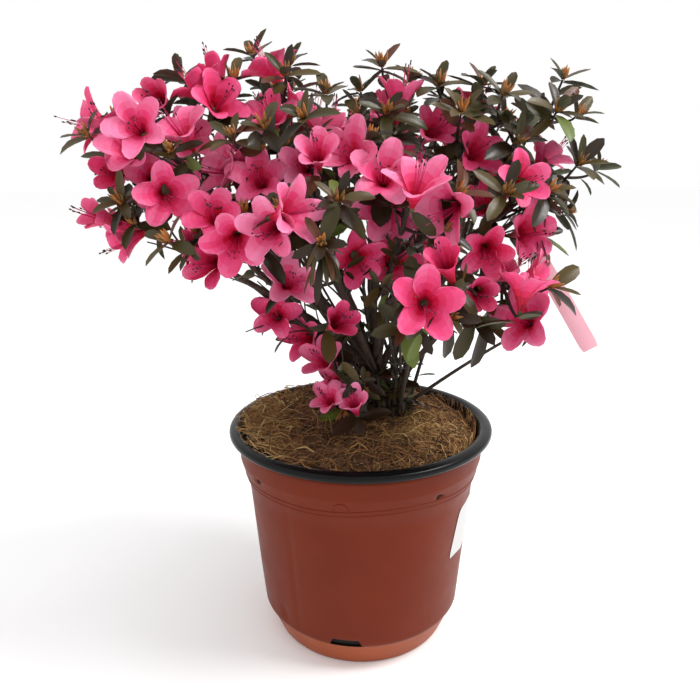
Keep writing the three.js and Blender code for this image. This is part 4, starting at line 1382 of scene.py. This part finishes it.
class AZALEA_OT_wood(bpy.types.Operator):
    """Trunk and boughs with ridged bark, and the twigs of every shoot."""

    bl_idname = "azalea.wood"
    bl_label = "Wood"

    def execute(self, context):
        self.add_bark()
        self.add_twigs(context.scene.azalea_sizes.twig_radius / MM)
        return {"FINISHED"}

    @staticmethod
    def add_bark():
        """Tubes along the limbs, with ridges as sums of sines of the angle and the length, and
        the stems inside the sprays as plain tapers."""
        bark = Batch()
        rng = np.random.default_rng(5)
        limbs = grown_limbs()
        boughs = [AZALEA_OT_wood.bough(rng, limbs[name]) for name in SPRAYS]
        points, faces = tubes(*(np.array(rows) for rows in zip(*boughs)), BARK_SIDES)
        bark.add(points, faces)
        stems = np.array([
            limbs[name].tip + limbs[name].arrival * np.linspace(-0.5, 0.72 * reach, STEM_STEPS)[:, None]
            for name, reach in zip(SPRAYS, SPRAY_REACHES)
        ])
        taper = np.linspace(BOUGH_TIP_RADIUS, STEM_TIP_RADIUS, STEM_STEPS)
        points, faces = tubes(stems, taper, STEM_SIDES)
        bark.add(points, faces)
        along = np.linspace(0, 1, TRUNK_STEPS)
        angle = np.arange(TRUNK_SIDES) * FULL_TURN / TRUNK_SIDES
        radius = trunk_radius(along[:, None], angle[None])
        ridge = 0.035 * np.sin(7 * angle + 5 * along[:, None])
        ridge = ridge + 0.03 * np.sin(13 * angle - 21 * along[:, None])
        path = limbs["trunk"].path.at(along)[None]
        points, faces = tubes(path, (radius * (1 + ridge))[None], TRUNK_SIDES)
        bark.add(points, faces)
        nodes = ["trunk"] + [f"bough_{name}" for name in SPRAYS]
        bark.build("bark", [bark_finish()], nodes)

    @staticmethod
    def bough(rng, limb):
        """A bough's path, which wanders as a sum of sines that is nought at its ends, and its
        radii, with knuckles as bell curves along it and three ridges that wind round it."""
        along = np.linspace(0, 1, BARK_STEPS)
        angle = np.arange(BARK_SIDES) * FULL_TURN / BARK_SIDES
        sway = rng.normal(0, 1, (3, 3))
        wander = sum(
            row * np.sin(np.pi * (k + 2) * along)[:, None] * 0.9 / (k + 1) for k, row in enumerate(sway)
        )
        path = limb.path.at(along) + wander * np.sin(np.pi * along)[:, None]
        knuckle = sum(bell(along - place, 0.022) for place in rng.uniform(0.08, 0.92, KNUCKLES))
        radius = bough_radius(limb.foot_radius, along) * (1 + 0.3 * knuckle)
        ridge = 0.08 * np.sin(3 * angle[None] + 9 * along[:, None] + rng.uniform(0, 6))
        return path, radius[:, None] * (1 + ridge)

    @staticmethod
    def add_twigs(tip_radius):
        """Twigs, sprigs and suckers, which thin evenly from their forks to their shoots."""
        plant = shrub()
        twigs = Batch()
        for paths, thick, thin, sides, tone in (
            (plant.twigs, 1.15, tip_radius, 5, 0),
            (plant.sprigs, 0.85, 0.45, 5, 1),
            (plant.suckers, 1.5, 0.8, 6, 1),
        ):
            points, faces = tubes(paths, np.linspace(thick, thin, paths.shape[1]), sides)
            twigs.add(points, faces, tone)
        finishes = [
            plain_finish("twig_brown", colour(TWIGS["brown"]), 0.75, 0.8, 0.3),
            plain_finish("twig_grey", colour(TWIGS["grey"]), 0.8, 0.8, 0.3),
        ]
        twigs.build("twigs", finishes)


# ---- Pot ----


def rounded(profile, rounds):
    """Cuts a profile's corners at a quarter and three quarters of each side, some times over."""
    points = np.array(profile, float)
    for _ in range(rounds):
        near, far = mix(points[:-1], points[1:], 0.25), mix(points[:-1], points[1:], 0.75)
        cut = np.stack([near, far], axis=1).reshape(-1, 2)
        points = np.concatenate([points[:1], cut, points[-1:]])
    return points


def spun(radius, height, columns, shift=0.0):
    """Rows of points round the vertical axis: radius, height and a shift may change with the angle."""
    angle = np.arange(columns) * FULL_TURN / columns + shift
    radius, height = np.broadcast_arrays(radius, height)
    return np.stack([radius * np.sin(angle), -radius * np.cos(angle), height + 0 * angle], -1)


WALL_COLUMNS = 240
RIM_COLUMNS = 200
# The third slot is near-black painted shade, for the drain slots' sides and the notches.
WALL, FOOT, PAINTED_SHADE_SLOT = 0, 1, 2  # material slots of the pot
FINE_ROW = 0.7  # between the rows of the shoulder
SLOT_NARROWING = 0.3


def wall_radius(height):
    """The pot's outer radius at a height, along its profile."""
    profile = np.array(WALL_OUTSIDE, float)
    return np.interp(height, profile[:, 1], profile[:, 0])


def embossed_line(angle):
    """Height of the line pressed round the shoulder: two slow waves."""
    return 128.4 + 1.4 * np.sin(2 * angle + 1.2) + 0.6 * np.sin(5 * angle)


NOTCHES = ((-0.915, 134.8), (0.618, 131.6))  # each one's angle and height
# Past this depth a notch's faces take the painted shade.
NOTCH_EDGE = 0.45  # the depth past which a notch is dark


def notch_depth(angle, height):
    """How deep in a notch a point lies, from 0 to 1: a bell curve round each notch."""
    return sum(bell(angle - place, 0.028) * bell(height - level, 1.9) for place, level in NOTCHES)


def wall_relief(angle, height):
    """Soft dents of the thin wall, an upright crease, a dimple and two notches: each a bell
    curve across its line, and the dents a sum of slow waves."""
    dents = 0.45 * np.sin(3 * angle + 0.4 + height / 60) + 0.3 * np.sin(7 * angle - height / 35)
    dents = dents * np.sin(np.pi * np.clip((height - 18) / 120, 0, 1))
    crease = -0.7 * bell(angle + 0.64, 0.03) * bell(height - 72, 52)
    dimple = -1.2 * bell(angle + 0.82, 0.06) * bell(height - 31, 6)
    return dents + crease + dimple - 2.4 * notch_depth(angle, height)


def wall_heights():
    """Heights of the wall's rows, closer at the foot, the drain slots and the shoulder."""
    foot = np.linspace(1.5, 18.5, 8)
    slots = [19.4, DRAIN_SLOT.low, 22, 24, DRAIN_SLOT.high, 27.5]
    middle = np.linspace(30, 122, 30)
    shoulder = np.arange(122.6, 140, FINE_ROW)
    return np.concatenate([foot, slots, middle, shoulder, [142, 145, 148, 151.5]])


def slot_shift(angle, heights):
    """How far the wall's points turn towards the nearest drain slot: a share of how far off it
    they are, times a bell curve, times a rise from the slot's foot to its top that dies above."""
    rise = np.clip((heights - DRAIN_SLOT.low) / (DRAIN_SLOT.high - DRAIN_SLOT.low), 0, 1)
    narrow = rise * bell(np.maximum(heights - DRAIN_SLOT.high, 0), 8)
    swing = wrapped(angle[:, None] - SLOT_TURNS)
    return -SLOT_NARROWING * (swing * bell(swing, 0.3)).sum(axis=1)[None] * narrow[:, None]


def slot_sides(place, in_slot, first, last):
    """Faces that join the two walls round each drain slot: under it, over it and at its ends.
    The inner wall's rows are the outer wall's in reverse."""
    inner = place[::-1]

    def bridge(a, b):
        return np.stack([place[a], place[b], inner[b], inner[a]], -1)

    column = np.flatnonzero(in_slot)
    following = (column + 1) % WALL_COLUMNS
    under = bridge((first, column), (first, following))
    over = bridge((last, column), (last, following))[:, ::-1]
    sides = [under, over]
    starts = np.flatnonzero(in_slot & ~np.roll(in_slot, 1))
    ends = (np.flatnonzero(in_slot & ~np.roll(in_slot, -1)) + 1) % WALL_COLUMNS
    for row in range(first, last):
        sides.append(bridge((row, starts), (row + 1, starts)))
        sides.append(bridge((row, ends), (row + 1, ends))[:, ::-1])
    return np.concatenate(sides)


class AZALEA_OT_pot(bpy.types.Operator):
    """The pot's wall with its drain slots, and its rolled rim."""

    bl_idname = "azalea.pot"
    bl_label = "Pot"

    def execute(self, context):
        colours = context.scene.azalea_colours
        self.add_wall(colours)
        self.add_rim(colours)
        return {"FINISHED"}

    @staticmethod
    def add_wall(colours):
        """An outer and an inner wall as one grid, rolled over the top and closed at the bottom.
        Faces inside a drain slot are left out, and its sides bridge the two walls. Those sides and the
        notches are painted near black, as shade."""
        heights = wall_heights()
        angle = wrapped(np.arange(WALL_COLUMNS) * FULL_TURN / WALL_COLUMNS)
        outer = wall_radius(heights)[:, None] + wall_relief(angle[None], heights[:, None])
        shift = slot_shift(angle, heights)
        edge = spun(np.full((1, 1), POT_EDGE_RADIUS), np.zeros((1, 1)), WALL_COLUMNS)
        outside = spun(outer, heights[:, None], WALL_COLUMNS, shift)
        inside = spun(outer - POT_WALL, heights[:, None], WALL_COLUMNS, shift)[::-1]
        floor = spun(np.full((1, 1), POT_FLOOR_RADIUS), np.full((1, 1), POT_WALL), WALL_COLUMNS)
        rows = np.concatenate([edge, outside, inside, floor])
        count = len(rows)
        faces = grid_faces(count, WALL_COLUMNS, joined=True)
        face_row, face_column = np.divmod(np.arange(len(faces)), WALL_COLUMNS)
        middles = angle[face_column] + np.pi / WALL_COLUMNS
        off = np.abs(wrapped(middles[:, None] - SLOT_TURNS)).min(axis=1)
        in_slot = off < DRAIN_SLOT.half_turn
        first, last = (
            1 + int(np.flatnonzero(heights == level)[0]) for level in (DRAIN_SLOT.low, DRAIN_SLOT.high)
        )
        outer_row = np.minimum(face_row, count - 2 - face_row)
        cut = in_slot & (outer_row >= first) & (outer_row < last)
        place = np.arange(count * WALL_COLUMNS).reshape(count, WALL_COLUMNS)
        sides = slot_sides(place, in_slot[:WALL_COLUMNS], first, last)
        levels = np.concatenate([[0], heights, heights[::-1], [POT_WALL]])
        depth = notch_depth(middles, levels[face_row] + FINE_ROW / 2)
        in_notch = (depth > NOTCH_EDGE) & (face_row < len(heights))
        # Slot sides and deep notch faces take the painted shade.
        face_slots = np.where(in_notch, PAINTED_SHADE_SLOT, np.where(face_row < first, FOOT, WALL))
        slots = np.concatenate([face_slots[~cut], np.full(len(sides), PAINTED_SHADE_SLOT)])
        points = np.concatenate([rows.reshape(-1, 3), [[0, 0, 0], [0, 0, POT_WALL]]])
        bottom, top = place.size, place.size + 1
        fans = np.concatenate([fan_faces(place[0], bottom), fan_faces(place[-1], top)[:, ::-1]])
        wall = Batch()
        quads = np.concatenate([faces[~cut], sides])
        wall.add(points[None], (fans, quads), (np.full(len(fans), FOOT), slots))
        plastic = AZALEA_OT_pot.plastic
        finishes = [
            plastic("pot_terracotta", tuple(colours.wall), colour(WALL_MOTTLE)),
            plastic("pot_foot", tuple(colours.foot), colour(FOOT_MOTTLE)),
            plastic("pot_painted_recess_shade", colour(PAINTED_RECESS_SHADE), colour(PAINTED_RECESS_MOTTLE)),
        ]
        AZALEA_OT_pot.add_beads(wall)
        wall.build("pot_wall", finishes, ["pot"])

    @staticmethod
    def add_beads(wall):
        """Two beads round the shoulder and an arch at the front, as tubes half sunk in the wall."""

        def bead(angle, height, thickness):
            radius = wall_radius(height) + wall_relief(angle, height) - 0.1
            path = np.stack([radius * np.sin(angle), -radius * np.cos(angle), height], -1)[None]
            points, faces = tubes(path, thickness, 6)
            wall.add(points, faces, WALL)

        around = np.linspace(-np.pi, np.pi, 241) + 0.02
        bead(around, embossed_line(around), 0.5)
        bead(around, embossed_line(around) - 3.4, 0.42)
        swing = np.linspace(0, np.pi, 17)
        arch = embossed_line(DRAIN_SLOT.turn) + 6.5 * np.sin(swing) ** 0.7
        bead(DRAIN_SLOT.turn - 0.055 * np.cos(swing), arch, 0.55)

    @staticmethod
    def plastic(name, base, lighter):
        """Moulded plastic with a soft sheen, a little mottled and scuffed."""
        finish = Finish(name, specular_ior_level=0.14)
        finish.feed("Base Color", finish.blend(finish.noise(38, 3.0), base, lighter))
        finish.feed("Roughness", finish.noise(14, 3.0) * 0.2 + 0.33)
        finish.bump(finish.noise(1.1, 3.0), 0.25, 0.08)
        return finish.material

    @staticmethod
    def add_rim(colours):
        """The rim's profile with its corners rounded, spun into a closed ring."""
        profile = [
            (84.3, 147), (84.3, 138), (85.6, 138), (86.1, 145), (86.3, 151.8), (91, 151.8),
            (RIM_RADIUS, 153.6), (RIM_RADIUS, 157.4), (91.8, RIM_TOP), (87.6, RIM_TOP), (84.9, 156),
            (84.3, 147),
        ]
        ring = rounded(profile, 2)[:-1]
        points = spun(ring[:, :1], ring[:, 1:], RIM_COLUMNS).reshape(-1, 3)
        faces = grid_faces(len(ring) + 1, RIM_COLUMNS, joined=True) % len(points)
        rim = Batch()
        rim.add(points[None], (faces,))
        finish = Finish("rim_black", specular_ior_level=0.16)
        finish.feed("Base Color", finish.blend(finish.noise(9), tuple(colours.rim), colour(RIM_MOTTLE)))
        finish.feed("Roughness", finish.noise(12, 3.0) * 0.2 + 0.14)
        finish.bump(finish.noise(6), 0.3, 0.15)
        rim.build("rim", [finish.material], ["pot_rim"])


def compost_height(x, y):
    """Level at the trunk, mounded round it, and lower to the right: a blend by how far out the
    point is, to the power 1.6, plus small lumps."""
    offset = np.stack([x - TRUNK_FOOT[0], y - TRUNK_FOOT[1]], -1)
    distance = np.linalg.norm(offset, axis=-1) + 1e-6
    heading = offset / distance[..., None]
    along = heading @ TRUNK_FOOT[:2]
    wall = np.sqrt(along**2 + COMPOST_SIDE[0][0] ** 2 - (TRUNK_FOOT[:2] ** 2).sum()) - along
    outward = np.clip((distance - COMPOST_FLAT_RADIUS) / (wall - COMPOST_FLAT_RADIUS), 0, 1)
    lumps = 1.3 * np.sin(0.09 * x + 1) * np.sin(0.11 * y) * np.sin(np.pi * outward)
    return mix(TRUNK_FOOT[2] - 0.3, COMPOST_EDGE - COMPOST_TILT * x, outward**1.6) + lumps


def compost_heap(x, y):
    """Loose coir piled against the rim: bell curves from the left and inwards from the wall."""
    return 4.4 * bell(np.minimum(x + 82, 60), 62) * bell(np.hypot(x, y) - 84, 24)


BED_COLUMNS, BED_RINGS = 160, 56
FIBRE_THICKNESS = np.array([0.7, 1, 1, 0.9, 0.4])  # along a fibre, as a share of its widest
MAT_RADIUS = 83.4  # within the pot's wall
RIM_FIBRES_LEFT_OF = -15
OVER_RIM_SHARE = 0.5
GOLDEN_PATCH, GOLDEN_LEFT = np.array([44.0, -18.0]), -74


class AZALEA_OT_compost(bpy.types.Operator):
    """Coir compost: a lumpy bed and a mat of curled fibres."""

    bl_idname = "azalea.compost"
    bl_label = "Compost"

    def execute(self, context):
        self.add_bed()
        self.add_fibres(context.scene.azalea_sizes.fibres)
        return {"FINISHED"}

    @staticmethod
    def add_bed():
        """Rings of points out from the pot's middle: the surface, then the side and bottom, in painted
        shade.
        """
        radii = np.linspace(1.5, COMPOST_SIDE[0][0], BED_RINGS)
        surface = spun(radii[:, None], np.zeros((1, 1)), BED_COLUMNS)
        x, y = surface[..., 0], surface[..., 1]
        coarse = 0.5 * np.sin(0.9 * x + 0.7 * y) * np.sin(0.8 * y - 0.5 * x)
        crumbs = coarse + 0.35 * np.sin(2.1 * x) * np.sin(1.9 * y + 1)
        surface[..., 2] = compost_height(x, y) + crumbs + 0.75 * compost_heap(x, y)
        side = np.array(COMPOST_SIDE[1:], float)
        sides = spun(side[:, :1], side[:, 1:], BED_COLUMNS)
        rows = np.concatenate([surface, sides])
        place = np.arange(rows.shape[0] * BED_COLUMNS).reshape(-1, BED_COLUMNS)
        centre = place.size
        top = [0.0, 0.0, compost_height(np.zeros(1), np.zeros(1))[0]]
        points = np.concatenate([rows.reshape(-1, 3), [top, [0, 0, COMPOST_SIDE[-1][1]]]])
        fans = np.concatenate([fan_faces(place[0], centre)[:, ::-1], fan_faces(place[-1], centre + 1)])
        quads = grid_faces(rows.shape[0], BED_COLUMNS, joined=True)[:, ::-1]
        bed = Batch()
        # The side and bottom faces take the near-black painted shade.
        in_pot = np.arange(len(quads)) >= (BED_RINGS - 1) * BED_COLUMNS
        slots = (np.repeat([0, 1], BED_COLUMNS), in_pot.astype(int))
        bed.add(points[None], (fans, quads), slots)
        finish = Finish("compost")
        crumb = finish.noise(2.4, 5.0)
        tone = finish.blend(crumb**1.6 * 1.5, colour(COMPOST), colour(COMPOST_CRUMBS))
        finish.feed("Base Color", tone)
        finish.feed("Roughness", finish.noise(4) * 0.1 + 0.86)
        finish.bump(crumb, 1.0, 1.6)
        painted_shade_finish = plain_finish("compost_painted_shade", colour(COMPOST_PAINTED_SHADE), 0.9, 2.0, 0.8)
        bed.build("compost_bed", [finish.material, painted_shade_finish], ["compost"])

    @staticmethod
    def add_fibres(count):
        """Fibres lie over the bed as curves: a start, a heading, a bow to the side, a curl and an
        arch up. Most stay inside the wall, and some at the left hang over the rim. They are more
        golden at the left and in a patch at the right, by bell curves."""
        rng = np.random.default_rng(90)
        radius = 82 * np.sqrt(rng.random(count))
        angle = FULL_TURN * rng.random(count)
        start = np.stack([radius * np.cos(angle), radius * np.sin(angle)], -1)
        heading = FULL_TURN * rng.random(count)
        way = np.stack([np.cos(heading), np.sin(heading)], -1)
        across = np.stack([-way[:, 1], way[:, 0]], -1)
        length = rng.uniform(6, 34, (count, 1))
        bow = rng.normal(0, 0.3, (count, 1)) * length
        shares = np.linspace(0, 1, len(FIBRE_THICKNESS))
        flat = bezier([start, start + way * length / 2 + across * bow, start + way * length], shares)
        curl = rng.normal(0, 1.2, (count, 1)) * np.sin(shares * rng.uniform(4, 11, (count, 1)))
        flat = flat + across[:, None] * curl[..., None]
        away = np.linalg.norm(flat, axis=2, keepdims=True)
        over_rim = rng.random((count, 1, 1)) < OVER_RIM_SHARE
        over_rim &= flat[:, :1, :1] < RIM_FIBRES_LEFT_OF
        wall = np.where(over_rim, rng.uniform(86, 92, (count, 1, 1)), MAT_RADIUS)
        flat = flat * np.minimum(1, wall / np.maximum(away, 1e-6))
        arch = rng.exponential(1.5, (count, 1)) * np.sin(np.pi * shares)
        arch = arch + rng.uniform(0.1, 1.4, (count, 1))
        ground = compost_height(flat[..., 0], flat[..., 1])
        height = ground + arch + compost_heap(flat[..., 0], flat[..., 1])
        on_rim = np.linalg.norm(flat, axis=2) > MAT_RADIUS
        height = np.where(on_rim, np.maximum(height, RIM_TOP + 0.6 + 0.3 * arch), height)
        paths = np.concatenate([flat, height[..., None]], axis=2)
        thickness = (0.16 + 0.36 * rng.random((count, 1, 1)) ** 2) * FIBRE_THICKNESS[:, None]
        points, faces = tubes(paths, thickness, 3)
        middle = flat[:, 2]
        golden = bell(middle[:, 0] - GOLDEN_LEFT, 26)
        golden = golden + bell(np.hypot(*(middle - GOLDEN_PATCH).T), 36)
        tone = rng.normal(1.9, 1.0, count) + 1.5 * golden
        tone = np.clip(tone, 0, len(FIBRES) - 1).astype(int)[:, None]
        mat = Batch()
        mat.add(points, faces, one_tone_each(tone, faces))
        finishes = [
            plain_finish(f"fibre_{name}", colour(text), 0.85, 0.7, 0.2) for name, text in FIBRES.items()
        ]
        mat.build("coir_fibres", finishes)


LABEL_GRID = (24, 7)  # points along and across the label's strip
RING_SIDES = 24
RING_CORNERS = ((0.3, 2.5), (0.3, -2.5), (-0.3, -2.5), (-0.3, 2.5))  # outwards, and along the bough
STICKER_GRID = (21, 15)
STICKER_PLACE = SimpleNamespace(angle=1.21, half_turn=0.27, height=90, half_height=20, lean=0.05)


class AZALEA_OT_labels(bpy.types.Operator):
    """The blank hanging label and the blank sticker on the pot."""

    bl_idname = "azalea.labels"
    bl_label = "Labels"

    def execute(self, context):
        self.add_tag(context.scene.azalea_colours.label)
        self.add_sticker()
        return {"FINISHED"}

    @staticmethod
    def add_tag(tone):
        """A strip from its loop round the bough down to its tip, bowed a little, with round ends."""
        limb = grown_limbs()[TAG.limb]
        root, along = limb.path.at(TAG.along), limb.path.tangent(TAG.along)
        tip = np.array(TAG.tip, float)
        down = tip - root
        out_of = unit(down - along * (down @ along))
        ring_radius = bough_radius(limb.foot_radius, TAG.along) + 1.3
        start = root + out_of * ring_radius
        run = tip - start
        lengthwise = unit(run)
        face = unit(np.array([0.0, -1.0, 0.0]) + lengthwise * lengthwise[1])
        sideways = np.cross(face, lengthwise)
        v = np.linspace(0, 1, LABEL_GRID[0])[:, None, None]
        u = np.linspace(-1, 1, LABEL_GRID[1])[None, :, None]
        taper = 1 - 0.12 * np.clip((v - 0.97) / 0.03, 0, 1) ** 2
        neck = mix(0.5, 1.0, np.clip(v / 0.12, 0, 1) ** 0.7)
        half = TAG.width / 2 * taper * neck
        bow = 2.2 * np.sin(np.pi * v) - 0.5 * u**2
        front = start + v * run + u * half * sideways + bow * face
        faces, rim = sheet_faces(*LABEL_GRID)
        label = Batch()
        label.add(sheet_points(front[None], -face * TAG.thickness), (faces[:, ::-1],), 0, rim)
        turn = np.linspace(0, FULL_TURN, RING_SIDES, endpoint=False)[:, None]
        across = np.cross(along, out_of)
        outwards = np.cos(turn) * out_of + np.sin(turn) * across
        ring = root + outwards * ring_radius
        band = np.stack([ring + outwards * h + along * w for h, w in RING_CORNERS], axis=1)
        band = band.reshape(1, -1, 3)
        count = band.shape[1]
        quads = grid_faces(RING_SIDES + 1, len(RING_CORNERS), joined=True) % count
        label.add(band, (quads,), 0, np.ones(count, bool))
        finish = Finish("tag_pink")
        finish.feed("Base Color", finish.blend(finish.noise(16), tuple(tone), colour(LABEL_MOTTLE)))
        finish.feed("Roughness", finish.noise(8) * 0.15 + 0.35)
        finish.bump(finish.noise(7), 0.2, 0.2)
        label.build("label", [finish.material], ["plant_tag"])

    @staticmethod
    def add_sticker():
        """A blank patch that follows the wall: its corners are round because each row's half
        width is that of a superellipse."""
        v = np.linspace(-1, 1, STICKER_GRID[0])[:, None]
        u = np.linspace(-1, 1, STICKER_GRID[1])[None]
        half = (1 - np.abs(v) ** 8) ** (1 / 8) + 1e-3
        spot = STICKER_PLACE
        angle = spot.angle + spot.lean * v + spot.half_turn * u * half
        height = spot.height + spot.half_height * v + 0 * u
        radius = wall_radius(height) + wall_relief(angle, height)

        def shell(lift):
            r = radius + lift
            return np.stack([r * np.sin(angle), -r * np.cos(angle), height], -1)

        front, back = shell(0.35), shell(0.05)
        faces, rim = sheet_faces(*STICKER_GRID)
        patch = Batch()
        patch.add(sheet_points(front[None], (back - front)[None]), (faces[:, ::-1],), 0, rim)
        finish = Finish("sticker_white", base_color=STICKER)
        finish.feed("Roughness", finish.noise(10) * 0.1 + 0.4)
        finish.bump(finish.noise(5), 0.2, 0.1)
        patch.build("sticker", [finish.material])


# ---- Stage ----

# Each lamp's place in metres, its size and its power.
LAMPS = {"key": ((1.0, -0.2, 1.5), 0.7, 22.0), "fill": ((-1.1, -0.8, 1.0), 1.2, 0.8)}
LAMPS_AIM = Vector((0, 0, 0.28))
FLOOR_DROP = 0.0004
WHITE, FLOOR_WHITE = (1.0, 1.0, 1.0, 1), (0.985, 0.985, 0.985, 1)


class AZALEA_OT_stage(bpy.types.Operator):
    """A pale floor, soft studio light and the main camera."""

    bl_idname = "azalea.stage"
    bl_label = "Stage"

    def execute(self, context):
        scene = context.scene
        bpy.ops.mesh.primitive_circle_add(
            vertices=96, radius=12, fill_type="NGON", location=(0, 0, -FLOOR_DROP)
        )
        floor = context.object
        floor.name = "floor"
        finish = Finish("floor_white", base_color=FLOOR_WHITE, roughness=0.9)
        floor.data.materials.append(finish.material)
        world = bpy.data.worlds.new("studio")
        world.use_nodes = True
        background = world.node_tree.nodes["Background"]
        background.inputs["Color"].default_value = WHITE
        background.inputs["Strength"].default_value = 1.0
        scene.world = world
        for name, (place, size, power) in LAMPS.items():
            data = bpy.data.lights.new(name, "AREA")
            data.shape, data.size, data.energy = "DISK", size, power
            lamp = bpy.data.objects.new(name, data)
            lamp.location = place
            aim = LAMPS_AIM - Vector(place)
            lamp.rotation_euler = aim.to_track_quat("-Z", "Y").to_euler()
            scene.collection.objects.link(lamp)
        self.add_camera(scene)
        scene.view_settings.view_transform = "Standard"
        return {"FINISHED"}

    @staticmethod
    def add_camera(scene):
        """The camera stands at the eye, and its own axes are right, up and back."""
        data = bpy.data.cameras.new("camera")
        data.sensor_width = SENSOR
        data.lens = SENSOR * FOCAL / FRAME_PIXELS
        camera = bpy.data.objects.new("camera", data)
        axes = np.stack([RIGHT, UP, -AHEAD], axis=1)
        camera.matrix_world = Matrix(axes.tolist()).to_4x4()
        camera.location = EYE * MM
        scene.collection.objects.link(camera)
        scene.camera = camera


class AZALEA_PT_panel(bpy.types.Panel):
    """Lists the sizes, the colours and the pieces."""

    bl_label = "Azalea"
    bl_idname = "AZALEA_PT_panel"
    bl_space_type = "VIEW_3D"
    bl_region_type = "UI"
    bl_category = "Azalea"

    def draw(self, context):
        for group in (context.scene.azalea_sizes, context.scene.azalea_colours):
            for name in group.__annotations__:
                self.layout.prop(group, name)
        for operator in OPERATORS:
            self.layout.operator(operator.bl_idname)


OPERATORS = (
    AZALEA_OT_pot,
    AZALEA_OT_compost,
    AZALEA_OT_wood,
    AZALEA_OT_blossom,
    AZALEA_OT_leaves,
    AZALEA_OT_buds,
    AZALEA_OT_labels,
    AZALEA_OT_stage,
)
CLASSES = (AzaleaSizes, AzaleaColours, *OPERATORS, AZALEA_PT_panel)


def register():
    """Registers the classes and hangs the settings on the scene."""
    for made in CLASSES:
        bpy.utils.register_class(made)
    bpy.types.Scene.azalea_sizes = bpy.props.PointerProperty(type=AzaleaSizes)
    bpy.types.Scene.azalea_colours = bpy.props.PointerProperty(type=AzaleaColours)


def unregister():
    """Undoes register."""
    del bpy.types.Scene.azalea_sizes
    del bpy.types.Scene.azalea_colours
    for made in reversed(CLASSES):
        bpy.utils.unregister_class(made)


def main():
    """Builds every piece in order."""
    register()
    for operator in OPERATORS:
        group, name = operator.bl_idname.split(".")
        getattr(getattr(bpy.ops, group), name)()


if __name__ == "__main__":
    main()
